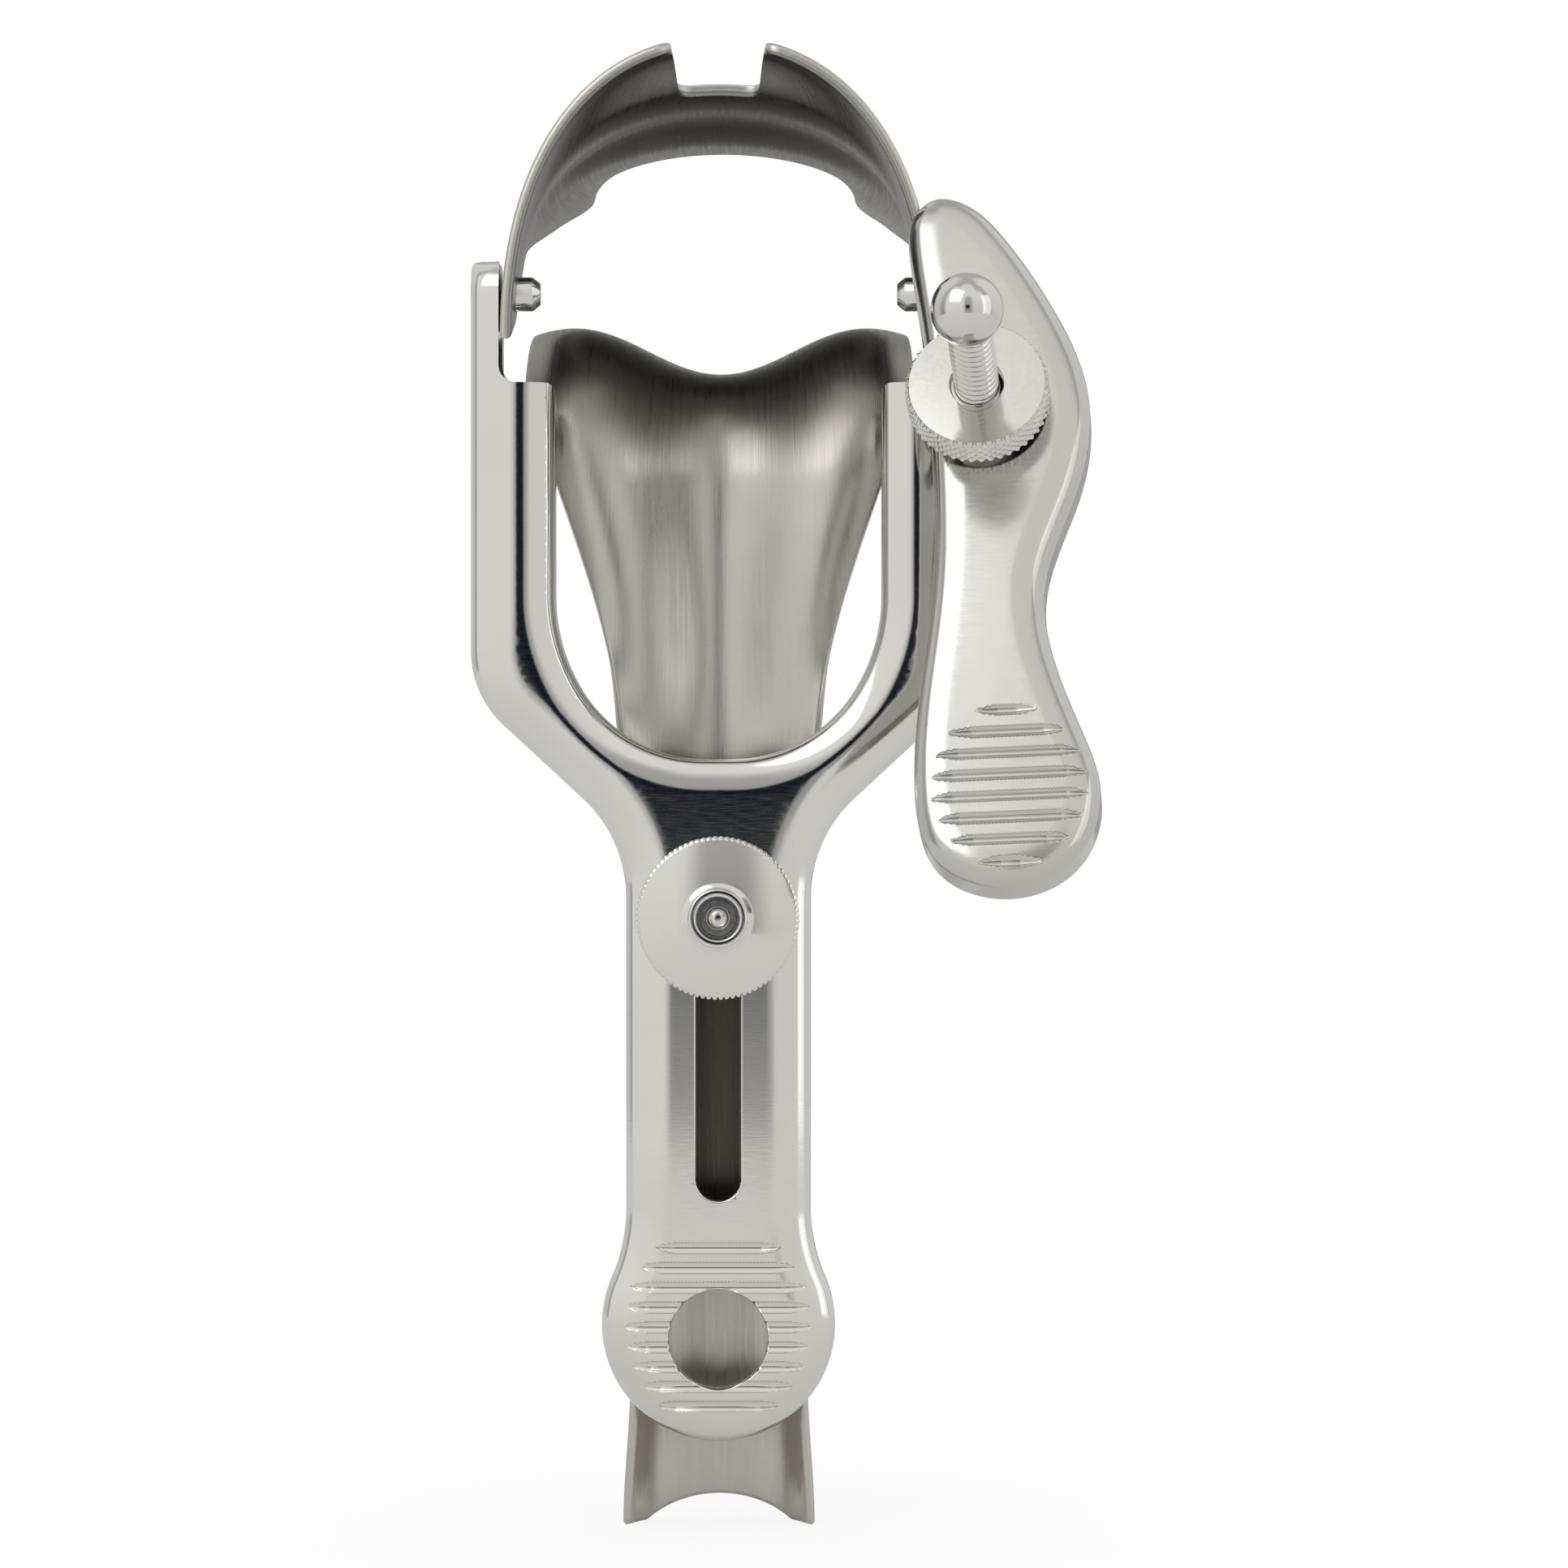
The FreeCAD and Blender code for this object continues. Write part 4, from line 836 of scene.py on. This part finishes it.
def upper_surface(along, across):
    """Both faces of the shut collar and upper blade at a distance along and -1 to 1 across."""
    rim_z = HINGE[2] - COLLAR_LEG
    edge_z = SADDLE_TOP + LOWER_BLADE_DEPTH + CLOSED_GAP
    fall, neck = COLLAR_HEIGHT - UPPER_BLADE_DEPTH, COLLAR_NECK
    angle = math.pi * (across + 1) / 2
    place = tip_place(along, np.cos(angle), UPPER_BLADE_LENGTH, UPPER_BLADE_HALF_WIDTH)
    notch = notch_depth(COLLAR_HALF_WIDTH * np.cos(angle))
    place = np.where(place < END_REACH, notch + place * (END_REACH - notch) / END_REACH, place)
    half_width = through((
        (0, COLLAR_HALF_WIDTH), (0.46 * neck, COLLAR_HALF_WIDTH - 0.5),
        (0.79 * neck, 0.5 * (COLLAR_HALF_WIDTH + UPPER_BLADE_HALF_WIDTH)),
        (1.14 * neck, UPPER_BLADE_HALF_WIDTH), (UPPER_BLADE_LENGTH, UPPER_BLADE_HALF_WIDTH)), place)
    height = through((
        (0, COLLAR_HEIGHT), (0.14 * neck, COLLAR_HEIGHT - 0.24 * fall),
        (0.36 * neck, COLLAR_HEIGHT - 0.59 * fall), (0.6 * neck, COLLAR_HEIGHT - 0.85 * fall),
        (neck, UPPER_BLADE_DEPTH), (UPPER_BLADE_LENGTH, UPPER_TIP_DEPTH)), place)
    tilt = np.radians(through(((0, OPEN_ANGLE), (0.7 * neck, 0)), place))
    base_z = through(((0.11 * neck, rim_z), (0.46 * neck, edge_z)), place)
    squareness = through(((0, 2.2), (0.7 * neck, 2.0)), place)
    up = np.stack([0 * tilt, np.sin(tilt), np.cos(tilt)], -1)
    centre = np.stack([0 * place, COLLAR_FRONT_Y + place, base_z], -1)
    side = np.sign(np.cos(angle)) * np.abs(np.cos(angle)) ** (2 / squareness)
    rise = np.maximum(np.sin(angle), 0) ** (2 / squareness)

    def face(wall):
        return (centre + np.array([1.0, 0, 0]) * (side * (half_width - wall))[..., None]
                + up * (rise * (height - wall))[..., None])

    return face(BLADE_SHEET), face(0.0)


def opened(points):
    """Points of the shut upper blade, turned open about the hinge."""
    turn = turn_matrix(0, math.radians(OPEN_ANGLE))
    return (points - HINGE) @ turn.T + HINGE


def lathe(name, profile, origin, axis, segments=128, shape=None):
    """Closed piece turned about an axis from (radius, distance along) points.

    shape(radius, distance, angle) may give a changed radius, for a thread or a knurl.
    """
    radius, distance = np.array(profile, float).T
    angle = np.linspace(0, 2 * np.pi, segments, endpoint=False)
    radius, distance, angle = np.broadcast_arrays(radius[:, None], distance[:, None], angle[None, :])
    if shape is not None:
        radius = shape(radius, distance, angle)
    axis = np.array(axis, float) / np.linalg.norm(axis)
    side = np.cross(axis, [0.0, 0.0, 1.0])
    side /= np.linalg.norm(side)
    other = np.cross(axis, side)
    points = (np.array(origin) + distance[..., None] * axis
              + (radius * np.cos(angle))[..., None] * side + (radius * np.sin(angle))[..., None] * other)
    faces = grid_faces(len(profile), segments, wrap_columns=True)
    return closed_mesh(name, points.reshape(-1, 3), faces, SHARP_ANGLE)


def dense(points, step=0.12):
    """The same profile with points no further apart than a step."""
    points = np.array(points, float)
    parts = []
    for a, b in zip(points[:-1], points[1:]):
        count = max(1, int(np.ceil(np.linalg.norm(b - a) / step)))
        parts.append(a + (b - a) * np.linspace(0, 1, count, endpoint=False)[:, None])
    return np.vstack(parts + [points[-1:]])


def arc(centre_r, centre_d, radius, first, last, count=8):
    """Profile points on an arc, angles in degrees from the outward direction."""
    angle = np.radians(np.linspace(first, last, count))
    return [(centre_r + radius * c, centre_d + radius * s) for c, s in zip(np.cos(angle), np.sin(angle))]


def make_lever_nut():
    """Thumb nut whose edge has a diamond knurl: two sets of crossing screw-shaped grooves."""
    back = screw_reach() + LEVER_NUT_GAP
    front = back + LEVER_NUT_THICKNESS
    bore, edge, bevel = SCREW_RADIUS + 0.06, LEVER_NUT_RADIUS, 0.45
    profile = ([(bore + 0.4, back), (edge - bevel, back)]
               + dense([(edge, back + bevel), (edge, front - bevel)], 0.09).tolist()
               + [(edge - bevel, front), (bore + 0.5, front), (bore, front - 0.4), (bore, back + 0.4),
                  (bore + 0.4, back)])

    def knurl(radius, distance, angle):
        on_rim = radius > edge - 0.05
        lean = (distance - back) * DIAMONDS / (edge * 2 * np.pi)
        first = np.abs((angle / (2 * np.pi) * DIAMONDS + lean) % 1 - 0.5) * 2
        second = np.abs((angle / (2 * np.pi) * DIAMONDS - lean) % 1 - 0.5) * 2
        groove = np.maximum(np.clip(first - 0.25, 0, 1), np.clip(second - 0.25, 0, 1)) / 0.75
        return radius - on_rim * DIAMOND_DEPTH * groove

    return lathe("lever_nut_knurled", profile, SCREW_PIVOT, SCREW_AXIS, DIAMONDS * 12, knurl)


def make_screw():
    """Tapered neck and thread: the radius falls by a rounded V once every pitch along a helix."""
    neck_end = screw_reach() - 1.0
    end = SCREW_LENGTH - BALL_RADIUS + 0.6
    profile = ([(0, 2.0), (1.05, 2.0), (1.1, 2 * SCREW_EYE_RADIUS), (1.6, neck_end - 1.2)]
               + dense([(SCREW_RADIUS, neck_end), (SCREW_RADIUS, end)], 0.11).tolist() + [(0, end)])

    def thread(radius, distance, angle):
        on_thread = smooth_step(distance, neck_end, neck_end + 1.2) * (radius > 1.7)
        phase = (distance / THREAD_PITCH + angle / (2 * np.pi)) % 1
        groove = 0.5 + 0.5 * np.cos(2 * np.pi * phase)
        return radius - on_thread * THREAD_DEPTH * groove ** 1.4

    return lathe("swivel_screw_threaded", profile, SCREW_PIVOT, SCREW_AXIS, 72, thread)


def make_screw_eye():
    """Eye of the screw on its cross pin, with rounded edges."""
    half, bore, bevel = SCREW_EYE_THICKNESS / 2, 1.26, 0.3
    flank = SCREW_EYE_RADIUS - bevel
    profile = ([(bore, -half), (flank, -half)] + arc(flank, bevel - half, bevel, -90, 0, 5)
               + arc(flank, half - bevel, bevel, 0, 90, 5) + [(bore, half), (bore, -half)])
    return lathe("swivel_screw_eye", profile, SCREW_PIVOT, [1, 0, 0], 64)


def make_ball():
    """Polished ball on the end of the screw, with the small flat where it meets the thread."""
    flat = math.degrees(math.asin(2.42 / BALL_RADIUS))
    profile = ([(2.2, SCREW_LENGTH - BALL_RADIUS * math.cos(math.radians(flat)))]
               + arc(0, SCREW_LENGTH, BALL_RADIUS, flat - 90, 90, 40))
    profile = [(0, profile[0][1])] + profile
    return lathe("swivel_ball_polished", profile, SCREW_PIVOT, SCREW_AXIS, 96)


def make_clamp_nut():
    """Domed thumb nut with a finely notched edge and a raised ring round a recess."""
    front, edge, crown = CLAMP_NUT_THICKNESS, CLAMP_NUT_RADIUS, CLAMP_NUT_CROWN
    low, bore, boss, recess = 0.05, STUD_RADIUS + 0.06, CLAMP_BOSS_RADIUS, CLAMP_RECESS_RADIUS
    dome = (edge ** 2 + crown ** 2) / (2 * crown)
    spread = np.linspace(edge - 0.25, boss + 0.5, 24)
    face = np.stack([spread, front - dome + np.sqrt(dome ** 2 - spread ** 2)], 1).tolist()
    profile = ([(bore, low), (edge - 2.4, low), (edge - 0.35, low + 1.3)]
               + dense([(edge, low + 1.7), (edge, front - crown - 0.15)], 0.2).tolist()
               + face + [(boss + 0.22, front + 0.02)] + arc(boss - 0.28, front + 0.07, 0.28, 0, 90, 6)
               + arc(recess + 0.2, front + 0.15, 0.2, 90, 180, 5)
               + [(recess, front - 1.9), (bore, front - 1.9), (bore, low)])

    def notches(radius, distance, angle):
        phase = np.abs((angle / (2 * np.pi) * CLAMP_NOTCHES) % 1 - 0.5) * 2
        near_edge = smooth_step(radius, edge - 0.32, edge - 0.05)
        return radius - near_edge * CLAMP_NOTCH_DEPTH * np.clip(phase - 0.35, 0, 1) / 0.65

    return lathe("clamp_nut_notched", profile, STUD, [0, -1, 0], CLAMP_NOTCHES * 8, notches)


def make_stud():
    """Stud through the strap: riveted head behind, collar, shank and domed end in the nut."""
    back = STRAP_WEB_Y + BLADE_SHEET
    end = CLAMP_NUT_THICKNESS - 0.7
    profile = ([(0, -back - 0.9)] + arc(0, -back + 5.0, 5.9, -90, -62, 7)
               + [(STUD_RADIUS + 0.9, -back), (STUD_RADIUS, -back), (STUD_RADIUS, -STRAP_WEB_Y),
                  (3.4, -STRAP_WEB_Y), (3.4, -SHEET - 0.4), (STUD_RADIUS, -SHEET - 0.4),
                  (STUD_RADIUS, end - 1.3), (1.3, end - 1.3)]
               + arc(0.3, end - 1.0, 1.0, 10, 90, 9) + [(0, end)])
    return lathe("clamp_stud_turned", profile, STUD, [0, -1, 0], 72)


def make_pivot_pin(side):
    """Pin in an ear: a bevelled inner end inside the collar, and a low riveted head outside."""
    inner = COLLAR_HALF_WIDTH - BLADE_SHEET - PIN_INNER_STUB
    head = ARM_OUTER + 0.12
    profile = ([(0, inner), (0.62 * PIN_RADIUS, inner), (PIN_RADIUS - 0.1, inner + 0.75),
                (PIN_RADIUS, inner + 0.95), (PIN_RADIUS, head - 0.3)]
               + arc(PIN_RADIUS - 0.3, head - 0.3, 0.3, 0, 90, 5) + [(0, head)])
    return lathe(f"pivot_pin_{SIDES[side]}_end", profile, [0, HINGE[1], HINGE[2]], [side, 0, 0], 64)


def ear_core(side):
    """Solid inside of one ear: a rounded outline in the YZ plane, as thick as the ear."""
    inner = ARM_OUTER - EAR_THICKNESS
    front = 1.6
    outline = rounded_line([(front, ARM_TOP - 4.0, 0.4), (EAR_BACK - 0.1, ARM_TOP - 0.4, 0.4),
                            (EAR_BACK - 0.1, EAR_TOP - 0.1, EAR_ROUND), (front, EAR_TOP - 0.1, EAR_ROUND)])
    middle = outline.mean(0)
    xs = np.array([inner, inner, inner + 0.25, ARM_OUTER - 0.6, ARM_OUTER - 0.6])
    scale = [None, 0.25, 0.0, 0.0, None]
    outward = loop_normals(outline)
    rings = []
    for x, inset in zip(xs, scale):
        ring = np.broadcast_to(middle, outline.shape) if inset is None else outline - outward * inset
        rings.append(np.stack([np.full(len(ring), side * x), ring[:, 0], ring[:, 1]], 1))
    faces = grid_faces(len(rings), len(outline), wrap_columns=True)
    return closed_mesh(f"yoke_ear_{SIDES[side]}", np.vstack(rings), faces, SHARP_ANGLE)


# Materials

def linear(code):
    """Linear RGBA colour from an sRGB hex code."""
    values = [int(code[i:i + 2], 16) / 255 for i in (1, 3, 5)]
    return tuple(v / 12.92 if v <= 0.04045 else ((v + 0.055) / 1.055) ** 2.4 for v in values) + (1.0,)


def add(tree, kind, settings=None, values=None, links=None):
    """Add a node, with its settings, the values of its inputs, and the outputs linked to them."""
    node = tree.nodes.new(kind)
    for key, value in (settings or {}).items():
        setattr(node, key, value)
    for key, value in (values or {}).items():
        node.inputs[key].default_value = value
    for key, output in (links or {}).items():
        tree.links.new(output, node.inputs[key])
    return node


def new_material(name):
    material = bpy.data.materials.new(name)
    material.use_nodes = True
    tree = material.node_tree
    tree.nodes.clear()
    return material, tree


def steel(name, colour, shade, roughness, marks_mm, heights_mm, attribute=None, painted_shade_zones=()):
    """Stainless steel whose colour, roughness and height vary by procedural marks.

    marks_mm are the spacings across X, Y and Z of the fine grain, the scratches and the slow
    waves, and heights_mm are their heights. An attribute gives the place in millimetres instead,
    and the zones of painted shade (from, to, colour) lie along its Y: there a sheet's inside face
    is painted darker to stand in for shade.
    """
    material, tree = new_material(name)
    if attribute:
        place = add(tree, "ShaderNodeAttribute", {"attribute_name": attribute}).outputs["Vector"]
        unit = 1.0
    else:
        place = add(tree, "ShaderNodeTexCoord").outputs["Object"]
        unit = MM

    def marks(spacing, detail):
        scale = tuple(1 / (unit * s) for s in spacing)
        stretched = add(tree, "ShaderNodeMapping", values={"Scale": scale}, links={"Vector": place})
        return add(tree, "ShaderNodeTexNoise", values={"Scale": 1.0, "Detail": detail, "Roughness": 0.6},
                   links={"Vector": stretched.outputs["Vector"]}).outputs["Fac"]

    grain, scratch, wave = (marks(spacing, detail) for spacing, detail in zip(marks_mm, (2.0, 4.0, 1.0)))
    tint = add(tree, "ShaderNodeMix", {"data_type": "RGBA"}, {"A": linear(colour), "B": linear(shade)},
               {"Factor": marks((16.0, 16.0, 16.0), 3.0)}).outputs["Result"]
    parts = add(tree, "ShaderNodeSeparateXYZ", links={"Vector": place}).outputs
    # Painted shade: each zone mixes the inside face's colour towards a darker one where the instrument lies in
    # shade
    for low, high, painted_shade_colour in painted_shade_zones:
        zone = multiplied(tree, stepped(tree, parts["Y"], low - 4, low + 4),
                          stepped(tree, parts["Y"], high + 4, high - 4))
        zone = multiplied(tree, zone, stepped(tree, parts["Z"], INSIDE_MARK / 2 - 0.5, INSIDE_MARK / 2 + 0.5))
        tint = add(tree, "ShaderNodeMix", {"data_type": "RGBA"}, {"B": linear(painted_shade_colour)},
                   {"Factor": zone, "A": tint}).outputs["Result"]
    rough = add(tree, "ShaderNodeMapRange", values={"From Min": 0.3, "From Max": 0.7,
                "To Min": roughness[0], "To Max": roughness[1]}, links={"Value": scratch})
    normal = {}
    for height, distance in zip((wave, scratch, grain), heights_mm[::-1]):
        bump = add(tree, "ShaderNodeBump", values={"Strength": 1.0, "Distance": distance * MM},
                   links={"Height": height, **normal})
        normal = {"Normal": bump.outputs["Normal"]}
    shader = add(tree, "ShaderNodeBsdfPrincipled", values={"Metallic": 1.0}, links={
        "Base Color": tint, "Roughness": rough.outputs["Result"], **normal})
    add(tree, "ShaderNodeOutputMaterial", links={"Surface": shader.outputs["BSDF"]})
    return material


def stepped(tree, value, start, end, low=0.0, high=1.0):
    """Output that goes smoothly from low to high as a value goes from start to end."""
    if end < start:
        start, end, low, high = end, start, high, low
    return add(tree, "ShaderNodeMapRange", {"interpolation_type": "SMOOTHSTEP"},
               {"From Min": start, "From Max": end, "To Min": low, "To Max": high},
               {"Value": value}).outputs["Result"]


def multiplied(tree, first, second):
    """Output that is the product of two others."""
    node = add(tree, "ShaderNodeMath", {"operation": "MULTIPLY"}, links={0: first, 1: second})
    return node.outputs["Value"]


def make_materials():
    brushed = (((0.12, 7.0, 1.0), (0.4, 18.0, 1.0), (9.0, 16.0, 1.0)), (0.010, 0.010, 0.012), "grain")
    return {
        # Mirror-polished stainless steel, buffed by hand: sharp reflections with slight waves,
        # and fine scratches that run across the arms
        "polished": steel("buffed_stainless_steel", "#dddcd8", "#d0cfcb", (0.06, 0.12),
                          ((0.4, 0.4, 0.4), (2.2, 2.2, 0.14), (8.0, 8.0, 12.0)), (0.0004, 0.001, 0.012)),
        # The lever's face, buffed less: soft reflections with a slight mottle
        "lever": steel("half_polished_stainless_steel", "#cbcac5", "#bdbcb7", (0.13, 0.22),
                       ((0.3, 0.3, 0.3), (2.2, 2.2, 0.2), (5.0, 5.0, 9.0)), (0.0008, 0.0015, 0.012)),
        # Satin stainless steel brushed along its length, with painted shade on its inside face:
        # a darker colour behind the handle's slot and round the saddle on the lower blade, and all
        # along the upper blade, where the instrument lies in its own shade
        "lower_satin": steel("brushed_stainless_steel", "#c8c5be", "#b4b1ab", (0.24, 0.36), *brushed,
                             painted_shade_zones=((33.0, 77.0, "#5c5751"), (120.0, 300.0, "#8a8781"))),
        "upper_satin": steel("brushed_stainless_steel_collar", "#c8c5be", "#b4b1ab", (0.24, 0.36), *brushed,
                             painted_shade_zones=((-20.0, 300.0, "#918f8c"),)),
        # Bright turned stainless steel
        "turned": steel("turned_stainless_steel", "#dad9d6", "#cccbc8", (0.08, 0.15),
                        ((0.3, 0.3, 0.3), (0.5, 0.5, 0.5), (4.0, 4.0, 4.0)), (0.0005, 0.0008, 0.002)),
    }


def make_world():
    """Pale studio: the metal reflects soft panels and a dark stand where the camera is.

    The camera itself sees plain white.
    """
    world = bpy.data.worlds.new("pale_studio")
    bpy.context.scene.world = world
    world.use_nodes = True
    tree = world.node_tree
    tree.nodes.clear()
    direction = add(tree, "ShaderNodeTexCoord").outputs["Generated"]
    parts = add(tree, "ShaderNodeSeparateXYZ", links={"Vector": direction}).outputs

    def math_node(operation, first, second=0.0):
        node = add(tree, "ShaderNodeMath", {"operation": operation})
        for socket, value in zip(node.inputs, (first, second)):
            if isinstance(value, (int, float)):
                socket.default_value = value
            else:
                tree.links.new(value, socket)
        return node.outputs["Value"]

    # Degrees to the right of the camera's direction, and above level
    right = math_node("DEGREES", math_node("ARCTAN2", parts["X"], math_node("MULTIPLY", parts["Y"], -1.0)))
    up = math_node("DEGREES", math_node("ARCSINE", parts["Z"]))

    def band(angle, low, high, soft):
        return multiplied(tree, stepped(tree, angle, low - soft, low + soft),
                          stepped(tree, angle, high + soft, high - soft))

    def panel(right_low, right_high, up_low, up_high, soft):
        return multiplied(tree, band(right, right_low, right_high, soft), band(up, up_low, up_high, soft))

    tone = stepped(tree, up, -60.0, 70.0, 0.30, 0.62)
    # Panels: (right from, to, up from, to, softness, brightness), in degrees
    for low, high, down, top, soft, level in ((-75, -10, -60, 62, 6, 0.52), (14, 58, -50, 50, 6, 0.42),
                                              (80, 150, -40, 70, 10, 0.40), (-160, -95, -40, 70, 10, 0.30),
                                              (-40, 40, 35, 80, 8, 0.40)):
        tone = math_node("ADD", tone, math_node("MULTIPLY", panel(low, high, down, top, soft), level))
    stand = panel(-6.5, 6.5, -2.4, 9, 1.6)
    tone = math_node("MULTIPLY", tone, math_node("SUBTRACT", 1.0, stand))
    colour = add(tree, "ShaderNodeMix", {"data_type": "RGBA"},
                 {"A": linear("#0a1322"), "B": (1.0, 0.995, 0.97, 1.0)}, {"Factor": tone})
    light = add(tree, "ShaderNodeBackground", values={"Strength": 0.95},
                links={"Color": colour.outputs["Result"]})
    white = add(tree, "ShaderNodeBackground", values={"Color": (1, 1, 1, 1), "Strength": 1.0})
    camera_ray = add(tree, "ShaderNodeLightPath").outputs["Is Camera Ray"]
    mixed = add(tree, "ShaderNodeMixShader", links={0: camera_ray, 1: light.outputs["Background"],
                                                    2: white.outputs["Background"]})
    add(tree, "ShaderNodeOutputWorld", links={"Surface": mixed.outputs["Shader"]})


def make_floor():
    """Pale round floor under the strap's end, which fades out before its rim."""
    turn = np.linspace(0, 2 * np.pi, 96, endpoint=False)
    radius = np.array([0.0, 120.0, 300.0, 600.0])
    points = np.stack([np.outer(radius, np.cos(turn)), np.outer(radius, np.sin(turn)) + 50.0,
                       np.full((4, 96), cad_low[2] / MM - 0.05)], -1)
    floor = closed_mesh("floor", points.reshape(-1, 3), grid_faces(4, 96, wrap_columns=True))
    material, tree = new_material("pale_floor")
    paint = add(tree, "ShaderNodeBsdfDiffuse", values={"Color": linear("#f4f4f4")})
    glow = add(tree, "ShaderNodeEmission", values={"Color": (1, 1, 1, 1), "Strength": 1.0})
    camera_ray = add(tree, "ShaderNodeLightPath").outputs["Is Camera Ray"]
    place = add(tree, "ShaderNodeTexCoord").outputs["Object"]
    distance = add(tree, "ShaderNodeVectorMath", {"operation": "LENGTH"}, links={"Vector": place})
    share = multiplied(tree, camera_ray, stepped(tree, distance.outputs["Value"], 0.02, 0.09, 0.86, 1.0))
    mixed = add(tree, "ShaderNodeMixShader", links={0: share, 1: paint.outputs["BSDF"],
                                                    2: glow.outputs["Emission"]})
    add(tree, "ShaderNodeOutputMaterial", links={"Surface": mixed.outputs["Shader"]})
    floor.data.materials.append(material)


def make_lamp(name, place, target, size, power):
    """Rectangular lamp at a place in metres, turned towards the target."""
    lamp = bpy.data.lights.new(name, "AREA")
    lamp.shape = "RECTANGLE"
    lamp.size, lamp.size_y = size
    lamp.energy = power
    piece = new_object(name, lamp)
    piece.location = place
    piece.rotation_mode = "QUATERNION"
    piece.rotation_quaternion = (Vector(target) - Vector(place)).to_track_quat("-Z", "Y")


def make_camera():
    """Level camera that looks along +Y."""
    camera = bpy.data.cameras.new("camera")
    camera.lens = LENS
    camera.sensor_width = 36.0
    camera.clip_start, camera.clip_end = 0.01, 10.0
    piece = new_object("camera", camera)
    piece.location = Vector(VIEW_POINT * MM)
    piece.rotation_euler = (math.pi / 2, 0, 0)
    bpy.context.scene.camera = piece


def finish_piece(piece, body, nodes, material):
    """Give a piece its metal and its body, and hide the nodes that it stands for."""
    piece.data.materials.clear()
    piece.data.materials.append(material)
    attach(piece, body)
    if nodes:
        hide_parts(*nodes)


make_camera()
make_world()
make_floor()
metals = make_materials()
for node in frame["nodes"].values():
    node.data.materials.clear()
    node.data.materials.append(metals["turned"])

finish_piece(make_yoke(), "yoke_body", ["yoke"], metals["polished"])
for side in (1, -1):
    finish_piece(ear_core(side), "yoke_body", [], metals["polished"])
    finish_piece(make_pivot_pin(side), "yoke_body", [f"pivot_pin_{SIDES[side]}"], metals["turned"])
finish_piece(make_lever(), "upper_blade_body", ["thumb_lever"], metals["lever"])
finish_piece(sheet_piece("lower_blade_sheet", lower_surface, LOWER_LENGTH, 260, 70, BLADE_SHEET),
             "lower_blade_body", ["lower_blade"], metals["lower_satin"])
finish_piece(sheet_piece("upper_blade_sheet", upper_surface, UPPER_BLADE_LENGTH, 176, 230,
                         BLADE_SHEET, opened),
             "upper_blade_body", ["upper_blade"], metals["upper_satin"])
finish_piece(make_lever_nut(), "lever_nut_body", ["lever_nut"], metals["turned"])
finish_piece(make_screw(), "screw_body", ["swivel_screw"], metals["turned"])
finish_piece(make_screw_eye(), "screw_body", [], metals["turned"])
finish_piece(make_ball(), "screw_body", ["swivel_ball"], metals["turned"])
finish_piece(make_clamp_nut(), "clamp_nut_body", ["clamp_nut"], metals["polished"])
finish_piece(make_stud(), "lower_blade_body", ["clamp_stud"], metals["turned"])

make_lamp("key_light", (-0.45, -0.55, 0.65), LAMP_TARGET, (0.6, 0.6), 1.3)
make_lamp("fill_light", (0.7, -0.35, 0.25), LAMP_TARGET, (0.4, 0.7), 0.6)

bpy.context.scene.view_settings.view_transform = "Standard"
